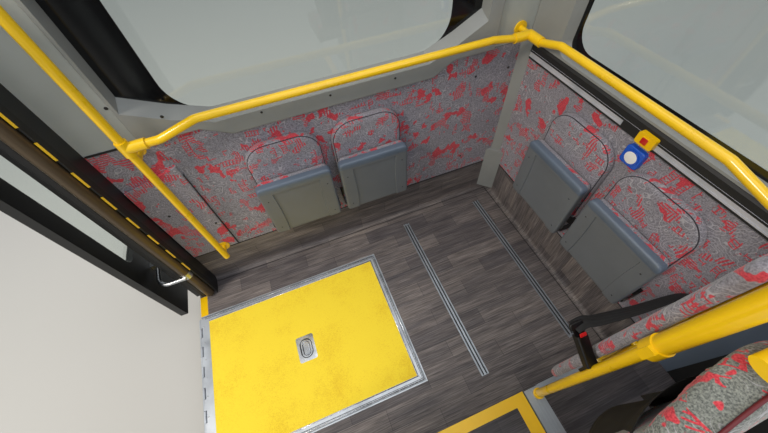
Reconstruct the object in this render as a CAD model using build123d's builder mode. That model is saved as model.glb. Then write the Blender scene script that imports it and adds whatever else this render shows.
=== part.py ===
from build123d import *
import os

# Rear wheelchair bay of a low floor minibus: floor, rear wall, far side wall, doorway with its
# fold-out ramp, four tip-up seats, handrails, stanchion with back board, and the first seat on the step.
# Millimetres. X runs across the bus from the doorway edge to the far side wall, Y runs from the
# step back to the rear wall, Z is up. The origin is on the underside of the door sill beam.
# Heights above the low floor are given as such and turned into Z by above().

os.makedirs("parts", exist_ok=True)

# Body
floor_top = 200.0          # low floor surface above the underside of the frame
bay_wide = 2245.0          # doorway edge to the side lining
bay_deep = 1370.0          # step edge line to the rear lining
front_cut = -640.0         # where the body is cut off, in front of the first seat
lining_thick = 12.0        # side and rear lining with their fabric
wall_thick = 56.0          # body wall behind the lining
skirt_low = 40.0           # lower edge of the body walls
wall_high = 1900.0         # top of the walls above the floor
deck_thick = 24.0
side_out = -30.0           # door side face of the body
corner_round = 45.0        # outer rear corners of the body

# Underframe
beam_wide = 60.0
beam_high = 90.0
cross_wide = 50.0
body_bolt_r = 6.5
body_bolt_x = 750.0
body_bolt_y = 1300.0
body_bolt_mid = 350.0      # Y of the middle of the body bolts

# Raised floor
step_high = 230.0
step_edge = 7.0            # Y of the step edge
raised_left = 170.0
tube_square = 40.0
riser_thick = 8.0

# Ramp
ramp_long = 1190.0         # well, doorway edge to inner end
ramp_low_y = 244.0
ramp_high_y = 1115.0
tray_sheet = 3.0
tray_rim = 6.0
ramp_gap = 5.0             # play between ramp and well
ramp_thick = 18.0
ramp_sink = 1.0            # ramp face below the floor
ramp_border = 34.0         # width of the ramp's edge profile
hinge_border = 42.0        # width of the edge profile at the hinge
hinge_x = -9.0
knuckle_r = 8.0
pin_r = 4.0
pin_play = 0.08
knuckle_long = 60.0
knuckle_play = 1.0
ramp_start = 4.0           # hinge edge of the ramp
handle_x = 594.0
handle_y = 673.0
handle_wide = 98.0
handle_long = 143.0
handle_deep = 8.0

# Floor rails for the wheelchair straps
rail_wide = 45.0
rail_high = 11.5
rail_proud = 1.5
slot_wide = 8.0
slot_deep = 6.0

# Linings
skirting_high = 288.0
cove_r = 30.0
joint_gap = 2.0
rear_lining_top = 1135.0
side_lining_top = 1050.0
box_panel_right = 390.0
box_panel_top = 985.0
box_panel_thick = 14.0

# Rear window
rear_open_left = 352.0
rear_open_right = 1955.0
rear_open_low = 1153.0
rear_open_high = 1760.0
open_run = 293.0           # slanted lower corners of the rear window: run, rise and knee
open_rise = 134.0
open_knee = (145.0, 60.0)
glass_thick = 6.0
glass_back = 14.0          # glass face inside the outer skin
trim_proud = 18.0
trim_low = 1072.0
trim_low_left = 690.0
trim_low_right = 1690.0
trim_high = 1790.0
trim_left = 336.0
trim_right = 2030.0
trim_end_left = 575.0      # where the low edge has come back up
trim_end_right = 1800.0
ledge_lift = 30.0          # rise of the sill towards the glass

# Side window
side_open_front = -560.0
side_open_rear = 1165.0
side_open_low = 1152.0
side_open_high = 1760.0
strip_low = 1060.0
strip_high = 1101.0
seal_high = 1140.0
strip_thick = 10.0

# Corner and doorway
corner_trim_wide = 62.0
corner_foot_wide = 118.0
corner_foot_high = 400.0
post_front = 1290.0        # doorway face of the rear door post
post_in = 118.0
column_x = 76.0
column_y = 1256.0
column_r = 28.0
doorway_mid = 627.0        # Y of the middle of the doorway
leaf_out = -100.0          # inner face of the parked door leaf
leaf_thick = 40.0
leaf_edge = 1195.0
leaf_wide = 600.0
leaf_low = -40.0
leaf_high = 1850.0
leaf_stile = 90.0
leaf_panel_high = 510.0
arm_r = 11.0

# Handrails
tube_r = 17.5
tube_proud = 80.0          # tube centre from the lining
rear_rail_high = 1230.0
side_rail_high = 1242.0
pole_x = 312.0
pole_foot = 330.0
pole_top = 1860.0
clamp_r = 23.0
flange_r = 34.0
flange_thick = 8.0

# Tip-up seats
seat_wide = 398.0
seat_gap_rear = 45.0       # between the two rear seats
seat_gap_side = 47.0       # between the two side seats
seat_axis_out = 80.0       # hinge line from the lining
seat_axis_high = 455.0
seat_rear_x = (862.0, 862.0 + seat_wide + seat_gap_rear)
seat_side_y = (363.0, 363.0 + seat_wide + seat_gap_side)
back_thick = 46.0
back_low = 505.0
back_top = 994.0
pan_low = 403.0
pan_top = 790.0
cushion_in = 52.0          # folded cushion face from the lining
cushion_thick = 36.0
shell_thick = 37.0
seat_pin_r = 7.0

# Stanchion, back board and belt
stanchion_x = 1620.0
stanchion_y = -25.0
sleeve_r = 25.0
sleeve_low = 1090.0
stanchion_top = 1880.0
board_x0 = 1642.0
board_wide = 420.0
board_y0 = 3.0
board_thick = 37.0
board_low = 390.0
board_top = 1455.0
belt_high = 870.0
belt_wide = 46.0
belt_thick = 3.0

# First seat on the raised floor
first_x = 1640.0
first_wide = 460.0
first_rear = -67.0
first_top = 1300.0
first_thick = 95.0
first_seat_high = 450.0    # above the raised floor

# Values worked out from the sizes above
deck_bottom = floor_top - deck_thick
wall_inner_x = bay_wide + lining_thick
wall_outer_x = wall_inner_x + wall_thick
wall_inner_y = bay_deep + lining_thick
wall_outer_y = wall_inner_y + wall_thick
ramp_top = floor_top - ramp_sink
ramp_bottom = ramp_top - ramp_thick
hinge_z = ramp_top - knuckle_r
raised_top = floor_top + step_high
raised_bottom = raised_top - deck_thick
front_post = 2 * doorway_mid - post_front
front_post_end = 2 * doorway_mid - wall_inner_y - joint_gap


def above(height):
    return floor_top + height


# Outline of the rear window in X and Z, grown outwards, with its lower edge lifted
def rear_outline(grow, lift):
    left = rear_open_left - grow
    right = rear_open_right + grow
    low = above(rear_open_low - grow + lift)
    return (
        (left + open_run, low),
        (right - open_run, low),
        (right - open_knee[0], low + open_knee[1]),
        (right, low + open_rise),
        (right, above(rear_open_high + grow - lift / 2)),
        (left, above(rear_open_high + grow - lift / 2)),
        (left, low + open_rise),
        (left + open_knee[0], low + open_knee[1]),
    )


def save(part, name):
    part.part.label = name
    export_step(part.part, "parts/" + name + ".step")


# Underframe: four long beams under the cross members, with four holes for the body bolts
beam_x = (0.0, 750.0, 1500.0, bay_wide - beam_wide / 2)
cross_y = (-610.0, -350.0, -85.0, 0.0, 300.0, 680.0, 1060.0, wall_inner_y - cross_wide / 2)
with BuildPart() as underframe:
    with BuildSketch():
        with Locations(*[(x, (front_cut + wall_inner_y) / 2) for x in beam_x]):
            Rectangle(beam_wide, wall_inner_y - front_cut)
    extrude(amount=beam_high)
    with BuildSketch(Plane.XY.offset(beam_high)):
        with Locations(*[(wall_inner_x / 2, y) for y in cross_y]):
            Rectangle(wall_inner_x, cross_wide)
    extrude(amount=deck_bottom - beam_high)
    with BuildSketch():
        with Locations(((beam_x[1] + beam_x[2]) / 2, body_bolt_mid)):
            with GridLocations(body_bolt_x, body_bolt_y, 2, 2):
                Circle(body_bolt_r)
    extrude(amount=beam_high, mode=Mode.SUBTRACT)
save(underframe, "underframe")

# Step frame: posts and beams of square tube with the riser plate in front of them
post_x = (raised_left + tube_square / 2, 750.0, 1500.0, bay_wide - tube_square / 2)
post_y = (-riser_thick - tube_square / 2, cross_y[0])
with BuildPart() as step_frame:
    with BuildSketch(Plane.XY.offset(deck_bottom)):
        with Locations(*[(x, y) for x in post_x for y in post_y]):
            Rectangle(tube_square, tube_square)
    extrude(amount=raised_bottom - deck_bottom - tube_square)
    with BuildSketch(Plane.XY.offset(raised_bottom - tube_square)):
        with Locations(*[((raised_left + bay_wide) / 2, y) for y in post_y]):
            Rectangle(bay_wide - raised_left, tube_square)
        with Locations(*[(x, (post_y[0] + post_y[1]) / 2) for x in post_x]):
            Rectangle(tube_square, post_y[0] - post_y[1])
    extrude(amount=tube_square)
    with BuildSketch(Plane.XY.offset(deck_bottom)):
        with Locations(((raised_left + bay_wide) / 2, step_edge - 2 - riser_thick / 2)):
            Rectangle(bay_wide - raised_left, riser_thick)
        with Locations(((raised_left + bay_wide) / 2, (step_edge - 2 - riser_thick - riser_thick) / 2)):
            Rectangle(bay_wide - raised_left, step_edge - 2)
        with Locations((raised_left + riser_thick / 2, front_post / 2)):
            Rectangle(riser_thick, -front_post)
    extrude(amount=raised_bottom - deck_bottom)
save(step_frame, "step_frame")

# Low floor deck, with the ramp well, the rail grooves and the threshold recess cut out
rail_rows = ((bay_wide - 745, 152.0, 1259.0), (bay_wide - 168, 142.0, 1242.0))     # rail centre x, front end, rear end
threshold_rows = ((step_edge, ramp_low_y), (ramp_high_y, 1252.0))  # front end, rear end
threshold_wide = 45.0
threshold_thick = 4.0
with BuildPart() as floor_deck:
    with BuildSketch(Plane.XY.offset(deck_bottom)):
        with Locations((wall_inner_x / 2, (step_edge + wall_inner_y) / 2)):
            Rectangle(wall_inner_x, wall_inner_y - step_edge)
        with Locations((ramp_long / 2, (ramp_low_y + ramp_high_y) / 2)):
            Rectangle(ramp_long, ramp_high_y - ramp_low_y, mode=Mode.SUBTRACT)
        with Locations(((side_out + post_in) / 2, (post_front + wall_inner_y) / 2)):
            Rectangle(post_in - side_out, wall_inner_y - post_front, mode=Mode.SUBTRACT)
        with Locations((raised_left / 2, (step_edge + front_post) / 2)):
            Rectangle(raised_left, step_edge - front_post)
    extrude(amount=deck_thick)
    with BuildSketch(Plane.XY.offset(floor_top + rail_proud - rail_high)):
        for centre_x, front_end, rear_end in rail_rows:
            with Locations((centre_x, (front_end + rear_end) / 2)):
                Rectangle(rail_wide, rear_end - front_end)
    extrude(amount=rail_high, mode=Mode.SUBTRACT)
    with BuildSketch(Plane.XY.offset(floor_top - threshold_thick)):
        for front_end, rear_end in threshold_rows:
            with Locations((threshold_wide / 2, (front_end + rear_end) / 2)):
                Rectangle(threshold_wide, rear_end - front_end)
    extrude(amount=threshold_thick, mode=Mode.SUBTRACT)
save(floor_deck, "floor_deck")

# Yellow threshold strips on both sides of the ramp
with BuildPart() as threshold_strips:
    with BuildSketch(Plane.XY.offset(floor_top - threshold_thick)):
        for front_end, rear_end in threshold_rows:
            with Locations((threshold_wide / 2, (front_end + rear_end) / 2)):
                Rectangle(threshold_wide, rear_end - front_end)
    extrude(amount=threshold_thick)
save(threshold_strips, "threshold_strips")

# Floor rails: extruded aluminium with two strap slots, wider below the lips
with BuildPart() as floor_rails:
    for centre_x, front_end, rear_end in rail_rows:
        with BuildSketch(Plane.XZ.offset(-rear_end)):
            with Locations((centre_x, floor_top + rail_proud - rail_high / 2)):
                Rectangle(rail_wide, rail_high)
            for side in (-1, 1):
                with Locations((centre_x + side * rail_wide / 4, floor_top + rail_proud - slot_deep / 2)):
                    Rectangle(slot_wide, slot_deep, mode=Mode.SUBTRACT)
                with Locations((centre_x + side * rail_wide / 4, floor_top + rail_proud - slot_deep * 0.8)):
                    Rectangle(slot_wide * 1.5, slot_deep * 0.4, mode=Mode.SUBTRACT)
        extrude(amount=rear_end - front_end)
save(floor_rails, "floor_rails")

# Raised floor deck, its yellow step nosing and the aluminium edge of the seat row
aisle_right = 1557.0
nosing_wide = 46.0
nosing_thick = 3.0
nosing_drop = 34.0
nosing_side_wide = 60.0
seat_row_trim = (1563.0, 1640.0)
trim_high_edge = 6.0
with BuildPart() as raised_deck:
    with BuildSketch(Plane.XY.offset(raised_bottom)):
        with Locations(((raised_left + bay_wide) / 2, (front_cut + step_edge) / 2)):
            Rectangle(bay_wide - raised_left, step_edge - front_cut)
        with Locations(((post_in + joint_gap + raised_left) / 2, (front_cut + front_post) / 2)):
            Rectangle(raised_left - post_in - joint_gap, front_post - front_cut)
        with Locations(((side_out + raised_left) / 2, (front_cut + front_post_end) / 2)):
            Rectangle(raised_left - side_out, front_post_end - front_cut)
    extrude(amount=deck_thick)
save(raised_deck, "raised_deck")

with BuildPart() as step_nosing:
    with BuildSketch(Plane.YZ.offset(raised_left)):
        with BuildLine():
            Polyline(
                (step_edge - nosing_wide, raised_top),
                (step_edge, raised_top),
                (step_edge, raised_top - nosing_drop),
                (step_edge + nosing_thick, raised_top - nosing_drop),
                (step_edge + nosing_thick, raised_top + nosing_thick),
                (step_edge - nosing_wide, raised_top + nosing_thick),
                close=True,
            )
        make_face()
    extrude(amount=aisle_right - raised_left)
    with BuildSketch(Plane.XY.offset(raised_top)):
        with Locations((aisle_right - nosing_side_wide / 2, (front_cut + step_edge) / 2)):
            Rectangle(nosing_side_wide, step_edge - front_cut)
    extrude(amount=nosing_thick)
    with BuildSketch(Plane.XY.offset(raised_top + nosing_thick / 2)):
        with Locations(((raised_left + aisle_right - nosing_side_wide) / 2, step_edge - nosing_wide * 0.6)):
            Rectangle(aisle_right - nosing_side_wide - raised_left, 7)
    extrude(amount=nosing_thick, mode=Mode.SUBTRACT)
save(step_nosing, "step_nosing")

with BuildPart() as seat_row_edge:
    with BuildSketch(Plane.XZ.offset(-step_edge)):
        with Locations(((seat_row_trim[0] + seat_row_trim[1]) / 2, raised_top + trim_high_edge / 2)):
            Rectangle(seat_row_trim[1] - seat_row_trim[0], trim_high_edge)
        for place in (0.3, 0.5, 0.7):
            groove_x = seat_row_trim[0] + place * (seat_row_trim[1] - seat_row_trim[0])
            with Locations((groove_x, raised_top + trim_high_edge)):
                Rectangle(7, 5, mode=Mode.SUBTRACT)
    extrude(amount=step_edge - front_cut)
    with BuildSketch(Plane.YZ.offset(seat_row_trim[1])):
        with BuildLine():
            Polyline(
                (step_edge - 26, raised_top),
                (step_edge, raised_top),
                (step_edge, raised_top - 26),
                (step_edge + 3, raised_top - 26),
                (step_edge + 3, raised_top + 3),
                (step_edge - 26, raised_top + 3),
                close=True,
            )
        make_face()
    extrude(amount=bay_wide - seat_row_trim[1])
save(seat_row_edge, "seat_row_edge")

# Skirting: floor covering turned up the walls through a cove
with BuildPart() as skirting:
    with BuildSketch(Plane.XZ.offset(-wall_inner_y)):
        with BuildLine():
            Polyline(
                (wall_inner_x, floor_top),
                (wall_inner_x, above(skirting_high)),
                (bay_wide, above(skirting_high)),
                (bay_wide, above(cove_r)),
            )
            RadiusArc((bay_wide, above(cove_r)), (bay_wide - cove_r + 1.5, above(1.5)), cove_r)
            Polyline(
                (bay_wide - cove_r + 1.5, above(1.5)),
                (bay_wide - cove_r + 1.5, floor_top),
                (wall_inner_x, floor_top),
            )
        make_face()
    extrude(amount=wall_inner_y - step_edge - nosing_thick)
    with BuildSketch(Plane.YZ.offset(post_in)):
        with BuildLine():
            Polyline(
                (wall_inner_y, floor_top),
                (wall_inner_y, above(skirting_high)),
                (bay_deep, above(skirting_high)),
                (bay_deep, above(cove_r)),
            )
            RadiusArc((bay_deep, above(cove_r)), (bay_deep - cove_r + 1.5, above(1.5)), cove_r)
            Polyline(
                (bay_deep - cove_r + 1.5, above(1.5)),
                (bay_deep - cove_r + 1.5, floor_top),
                (wall_inner_y, floor_top),
            )
        make_face()
    extrude(amount=wall_inner_x - post_in)
save(skirting, "skirting")

# Ramp well: folded sheet tray with a rim, hinge lugs on its nose and the hinge pin
ramp_low_edge = ramp_low_y + tray_rim + ramp_gap
ramp_high_edge = ramp_high_y - tray_rim - ramp_gap
ramp_end = ramp_long - tray_rim - ramp_gap
knuckle_count = int((ramp_high_edge - ramp_low_edge) // knuckle_long)
knuckle_start = (ramp_low_edge + ramp_high_edge) / 2 - knuckle_count * knuckle_long / 2
with BuildPart() as ramp_tray:
    with BuildSketch(Plane.XY.offset(deck_bottom)):
        with Locations((ramp_long / 2, (ramp_low_y + ramp_high_y) / 2)):
            Rectangle(ramp_long, ramp_high_y - ramp_low_y)
    extrude(amount=tray_sheet)
    with BuildSketch(Plane.XY.offset(deck_bottom + tray_sheet)):
        with Locations((ramp_long / 2, (ramp_low_y + ramp_high_y) / 2)):
            Rectangle(ramp_long, ramp_high_y - ramp_low_y)
        with Locations(((ramp_long - tray_rim) / 2, (ramp_low_y + ramp_high_y) / 2)):
            Rectangle(ramp_long - tray_rim, ramp_high_y - ramp_low_y - 2 * tray_rim, mode=Mode.SUBTRACT)
    extrude(amount=deck_thick - tray_sheet)
    with BuildSketch(Plane.XY.offset(deck_bottom + tray_sheet)):
        for place in (0.25, 0.5, 0.75):
            with Locations((ramp_long * 0.5, ramp_low_y + place * (ramp_high_y - ramp_low_y))):
                Rectangle(ramp_long * 0.9, 30)
    extrude(amount=ramp_bottom - deck_bottom - tray_sheet - 0.3)
    with BuildSketch(Plane.XY.offset(deck_bottom)):
        with Locations((hinge_x / 2 - 3, (ramp_low_edge + ramp_high_edge) / 2)):
            Rectangle(-hinge_x + 6, ramp_high_edge - ramp_low_edge)
    extrude(amount=tray_sheet)
    for step in range(0, knuckle_count, 2):
        knuckle_y = knuckle_start + step * knuckle_long
        with BuildSketch(Plane.XZ.offset(-(knuckle_y + knuckle_long - knuckle_play))):
            with Locations((hinge_x, hinge_z)):
                Circle(knuckle_r)
            with Locations((hinge_x, (deck_bottom + hinge_z) / 2)):
                Rectangle(12, hinge_z - deck_bottom)
        extrude(amount=knuckle_long - 2 * knuckle_play)
    with BuildSketch(Plane.XZ.offset(-ramp_high_edge)):
        with Locations((hinge_x, hinge_z)):
            Circle(pin_r)
    extrude(amount=ramp_high_edge - ramp_low_edge)
save(ramp_tray, "ramp_tray")

# Ramp: aluminium edge profile with the moving knuckles, round a gritted board
with BuildPart() as ramp_edge:
    with BuildSketch(Plane.XY.offset(ramp_bottom)):
        with Locations(((ramp_start + ramp_end) / 2, (ramp_low_edge + ramp_high_edge) / 2)):
            Rectangle(ramp_end - ramp_start, ramp_high_edge - ramp_low_edge)
        board_mid_x = (ramp_start + hinge_border + ramp_end - ramp_border) / 2
        with Locations((board_mid_x, (ramp_low_edge + ramp_high_edge) / 2)):
            Rectangle(
                ramp_end - ramp_start - hinge_border - ramp_border,
                ramp_high_edge - ramp_low_edge - 2 * ramp_border,
                mode=Mode.SUBTRACT,
            )
    extrude(amount=ramp_thick)
    for step in range(1, knuckle_count, 2):
        knuckle_y = knuckle_start + step * knuckle_long
        with BuildSketch(Plane.XZ.offset(-(knuckle_y + knuckle_long - knuckle_play))):
            with Locations((hinge_x, hinge_z)):
                Circle(knuckle_r)
            with Locations(((hinge_x + ramp_start) / 2, hinge_z)):
                Rectangle(ramp_start - hinge_x, knuckle_r * 1.7)
            with Locations((hinge_x, hinge_z)):
                Circle(pin_r + pin_play, mode=Mode.SUBTRACT)
        extrude(amount=knuckle_long - 2 * knuckle_play)
save(ramp_edge, "ramp_edge")

with BuildPart() as ramp_board:
    with BuildSketch(Plane.XY.offset(ramp_bottom + 0.5)):
        with Locations((board_mid_x, (ramp_low_edge + ramp_high_edge) / 2)):
            Rectangle(
                ramp_end - ramp_start - hinge_border - ramp_border,
                ramp_high_edge - ramp_low_edge - 2 * ramp_border,
            )
    extrude(amount=ramp_thick - 1.0)
    with BuildSketch(Plane.XY.offset(ramp_top - 0.5 - handle_deep)):
        with Locations((handle_x, handle_y)):
            RectangleRounded(handle_wide, handle_long, 10)
    extrude(amount=handle_deep, mode=Mode.SUBTRACT)
save(ramp_board, "ramp_board")

# Ramp handle: pressed pan with an oval bail lying in it
bail_r = 4.0
bail_long = 92.0
bail_wide = 52.0
with BuildPart() as ramp_handle:
    with BuildSketch(Plane.XY.offset(ramp_top - 0.5 - handle_deep)):
        with Locations((handle_x, handle_y)):
            RectangleRounded(handle_wide, handle_long, 10)
    extrude(amount=handle_deep)
    with BuildSketch(Plane.XY.offset(ramp_top - 0.5)):
        with Locations((handle_x, handle_y)):
            RectangleRounded(handle_wide + 8, handle_long + 8, 12)
    extrude(amount=0.8)
    with BuildSketch(Plane.XY.offset(ramp_top - handle_deep + 1)):
        with Locations((handle_x, handle_y)):
            RectangleRounded(bail_wide + 22, bail_long + 22, 34)
            RectangleRounded(bail_wide - 22, bail_long - 22, 12, mode=Mode.SUBTRACT)
    extrude(amount=handle_deep + 1, mode=Mode.SUBTRACT)
    with BuildSketch(Plane.XY.offset(ramp_top - handle_deep + 0.5)):
        with Locations((handle_x, handle_y)):
            RectangleRounded(bail_wide + bail_r * 2, bail_long + bail_r * 2, 29)
            RectangleRounded(bail_wide - bail_r * 2, bail_long - bail_r * 2, 21, mode=Mode.SUBTRACT)
    extrude(amount=handle_deep - 1)
save(ramp_handle, "ramp_handle")

# Rear wall with its window opening and two roof bolt holes
with BuildPart() as rear_wall:
    with BuildSketch(Plane.XY.offset(skirt_low)):
        with Locations(((side_out + wall_outer_x) / 2, (wall_inner_y + wall_outer_y) / 2)):
            Rectangle(wall_outer_x - side_out, wall_thick)
        outer_corners = vertices().group_by(Axis.Y)[-1]
        fillet(outer_corners, corner_round)
    extrude(amount=above(wall_high) - skirt_low)
    with BuildSketch(Plane.XZ.offset(-wall_outer_y)):
        with BuildLine():
            Polyline(*rear_outline(12.0, 0.0), close=True)
        make_face()
    extrude(amount=wall_thick, mode=Mode.SUBTRACT)
    with BuildSketch(Plane.XY.offset(above(wall_high))):
        with Locations(((side_out + wall_outer_x) / 2, (wall_inner_y + wall_outer_y) / 2)):
            with GridLocations(body_bolt_x, 1, 2, 1):
                Circle(body_bolt_r)
    extrude(amount=-60, mode=Mode.SUBTRACT)
save(rear_wall, "rear_wall")

# Side wall with its long window opening
with BuildPart() as side_wall:
    with BuildSketch(Plane.XY.offset(skirt_low)):
        with Locations(((wall_inner_x + wall_outer_x) / 2, (front_cut + wall_inner_y) / 2)):
            Rectangle(wall_thick, wall_inner_y - front_cut)
    extrude(amount=above(wall_high) - skirt_low)
    with BuildSketch(Plane.YZ.offset(wall_inner_x)):
        with Locations((
            (side_open_front + side_open_rear) / 2,
            above((side_open_low + side_open_high) / 2),
        )):
            RectangleRounded(side_open_rear - side_open_front, side_open_high - side_open_low, 60)
    extrude(amount=wall_thick, mode=Mode.SUBTRACT)
save(side_wall, "side_wall")

# Linings: fabric covered boards above the skirting
with BuildPart() as rear_lining:
    with BuildSketch(Plane.XZ.offset(-wall_inner_y)):
        with BuildLine():
            Polyline(
                (post_in, above(skirting_high + joint_gap)),
                (bay_wide, above(skirting_high + joint_gap)),
                (bay_wide, above(rear_lining_top)),
                (trim_end_right, above(rear_lining_top)),
                (trim_low_right, above(trim_low)),
                (trim_low_left, above(trim_low)),
                (trim_end_left, above(rear_lining_top)),
                (post_in, above(rear_lining_top)),
                close=True,
            )
        make_face()
    extrude(amount=lining_thick)
save(rear_lining, "rear_lining")

with BuildPart() as rear_box_panel:
    with BuildSketch(Plane.XZ.offset(-bay_deep)):
        with BuildLine():
            Polyline(
                (post_in + 4, above(skirting_high + 18)),
                (box_panel_right, above(skirting_high + 18)),
                (box_panel_right, above(box_panel_top)),
                (post_in + 4, above(box_panel_top - 70)),
                close=True,
            )
        make_face()
    extrude(amount=box_panel_thick)
    fillet(edges().group_by(Axis.Y)[0], 5)
save(rear_box_panel, "rear_box_panel")

with BuildPart() as side_lining:
    with BuildSketch(Plane.YZ.offset(bay_wide)):
        with BuildLine():
            Polyline(
                (step_edge, above(skirting_high + joint_gap)),
                (bay_deep, above(skirting_high + joint_gap)),
                (bay_deep, above(side_lining_top)),
                (front_cut, above(side_lining_top)),
                (front_cut, raised_top),
                (step_edge, raised_top),
                close=True,
            )
        make_face()
    extrude(amount=lining_thick)
save(side_lining, "side_lining")

# Rear window trim: one moulding with a dropped lower edge, a sloping ledge and deep reveals
reveal_back = wall_outer_y - glass_back - glass_thick
trim_face_y = bay_deep - trim_proud
with BuildPart() as rear_window_trim:
    with BuildSketch(Plane.XZ.offset(-wall_inner_y)):
        with BuildLine():
            Polyline(
                (trim_low_left, above(trim_low)),
                (trim_low_right, above(trim_low)),
                (trim_end_right, above(rear_lining_top)),
                (trim_right, above(rear_lining_top)),
                (trim_right, above(trim_high)),
                (trim_left, above(trim_high)),
                (trim_left, above(rear_lining_top)),
                (trim_end_left, above(rear_lining_top)),
                close=True,
            )
        make_face()
    extrude(amount=wall_inner_y - trim_face_y)
    fillet(edges().group_by(Axis.Y)[0], 8)
    with BuildSketch(Plane.XZ.offset(-reveal_back)):
        with BuildLine():
            Polyline(*rear_outline(11.5, 0.0), close=True)
        make_face()
    extrude(amount=reveal_back - wall_inner_y)
    with BuildSketch(Plane.XZ.offset(-trim_face_y)):
        with BuildLine():
            Polyline(*rear_outline(0.0, 0.0), close=True)
        make_face()
    with BuildSketch(Plane.XZ.offset(-reveal_back)):
        with BuildLine():
            Polyline(*rear_outline(-4.0, ledge_lift), close=True)
        make_face()
    loft(mode=Mode.SUBTRACT)
save(rear_window_trim, "rear_window_trim")

with BuildPart() as rear_glass:
    with BuildSketch(Plane.XZ.offset(-(wall_outer_y - glass_back))):
        with BuildLine():
            Polyline(*rear_outline(11.5, 0.0), close=True)
        make_face()
    extrude(amount=glass_thick)
save(rear_glass, "rear_glass")

# Upper covers on the rear wall, left and right of the window
cover_rows = ((post_in, trim_left - 2), (trim_right + 2, bay_wide - 2))     # left edge, right edge
with BuildPart() as rear_covers:
    with BuildSketch(Plane.XZ.offset(-wall_inner_y)):
        for left_edge, right_edge in cover_rows:
            with Locations(((left_edge + right_edge) / 2, above((rear_lining_top + 4 + wall_high) / 2))):
                Rectangle(right_edge - left_edge, wall_high - rear_lining_top - 4)
    extrude(amount=lining_thick)
save(rear_covers, "rear_covers")

# Corner trim between the rear and side linings, wider at its foot
with BuildPart() as corner_trim:
    with BuildSketch(Plane.XY.offset(above(cove_r))):
        with BuildLine():
            Polyline(
                (bay_wide, bay_deep - corner_foot_wide * 0.7),
                (bay_wide, bay_deep),
                (bay_wide - corner_foot_wide * 0.7, bay_deep),
                close=True,
            )
        make_face()
    extrude(amount=corner_foot_high - cove_r)
    with BuildSketch(Plane.XY.offset(above(corner_foot_high))):
        with BuildLine():
            Polyline(
                (bay_wide, bay_deep - corner_trim_wide * 0.7),
                (bay_wide, bay_deep),
                (bay_wide - corner_trim_wide * 0.7, bay_deep),
                close=True,
            )
        make_face()
    extrude(amount=rear_lining_top - corner_foot_high)
save(corner_trim, "corner_trim")

# Side wall between lining and glass: aluminium strip, rubber band, window trim and glass
strip_end = bay_deep - corner_trim_wide * 0.7 - joint_gap
strip_face = wall_inner_x - 2 * strip_thick
with BuildPart() as side_strip:
    with BuildSketch(Plane.XZ.offset(-strip_end)):
        with Locations(((strip_face + wall_inner_x) / 2, above((strip_low + strip_high) / 2))):
            Rectangle(wall_inner_x - strip_face, strip_high - strip_low)
        with Locations((bay_wide - 8, above((strip_low + strip_high) / 2))):
            Rectangle(6, (strip_high - strip_low) / 3, mode=Mode.SUBTRACT)
    extrude(amount=strip_end - front_cut)
save(side_strip, "side_strip")

with BuildPart() as side_seal:
    with BuildSketch(Plane.XZ.offset(-strip_end)):
        with BuildLine():
            Polyline(
                (wall_inner_x, above(strip_high)),
                (wall_inner_x, above(seal_high)),
                (bay_wide + 4, above(seal_high)),
                (bay_wide - 6, above(seal_high - 12)),
                (bay_wide - 6, above(strip_high)),
                close=True,
            )
        make_face()
    extrude(amount=strip_end - front_cut)
save(side_seal, "side_seal")

side_mid_y = (side_open_front + side_open_rear) / 2
side_mid_z = above((side_open_low + side_open_high) / 2)
side_reveal = wall_outer_x - glass_back - glass_thick
with BuildPart() as side_window_trim:
    with BuildSketch(Plane.YZ.offset(bay_wide)):
        with Locations(((front_cut + bay_deep) / 2, above((seal_high + wall_high) / 2))):
            Rectangle(bay_deep - front_cut, wall_high - seal_high)
    extrude(amount=lining_thick)
    with BuildSketch(Plane.YZ.offset(wall_inner_x)):
        with Locations((side_mid_y, side_mid_z)):
            RectangleRounded(side_open_rear - side_open_front - 1, side_open_high - side_open_low - 1, 60)
    extrude(amount=side_reveal - wall_inner_x)
    with BuildSketch(Plane.YZ.offset(bay_wide)):
        with Locations((side_mid_y, side_mid_z)):
            RectangleRounded(side_open_rear - side_open_front + 4, side_open_high - side_open_low + 4, 62)
    with BuildSketch(Plane.YZ.offset(side_reveal)):
        with Locations((side_mid_y, side_mid_z)):
            RectangleRounded(side_open_rear - side_open_front - 40, side_open_high - side_open_low - 34, 50)
    loft(mode=Mode.SUBTRACT)
save(side_window_trim, "side_window_trim")

with BuildPart() as side_glass:
    with BuildSketch(Plane.YZ.offset(wall_outer_x - glass_back - glass_thick)):
        with Locations((side_mid_y, side_mid_z)):
            RectangleRounded(side_open_rear - side_open_front - 1, side_open_high - side_open_low - 1, 60)
    extrude(amount=glass_thick)
save(side_glass, "side_glass")

# Doorway: posts at both ends with the header between them
doorway_plane = Plane(origin=(0, doorway_mid, 0), z_dir=(0, 1, 0))
header_high = 80.0
header_in = 40.0
with BuildPart() as door_posts:
    with BuildSketch(Plane.XY.offset(deck_bottom)):
        with Locations(((side_out + post_in) / 2, (post_front + wall_inner_y) / 2)):
            Rectangle(post_in - side_out, wall_inner_y - post_front)
    extrude(amount=above(wall_high) - deck_bottom)
    mirror(about=doorway_plane)
    with BuildSketch(Plane.XY.offset(above(wall_high - header_high))):
        with Locations(((side_out + header_in) / 2, doorway_mid)):
            Rectangle(header_in - side_out, 2 * (post_front - doorway_mid))
    extrude(amount=header_high)
save(door_posts, "door_posts")

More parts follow.
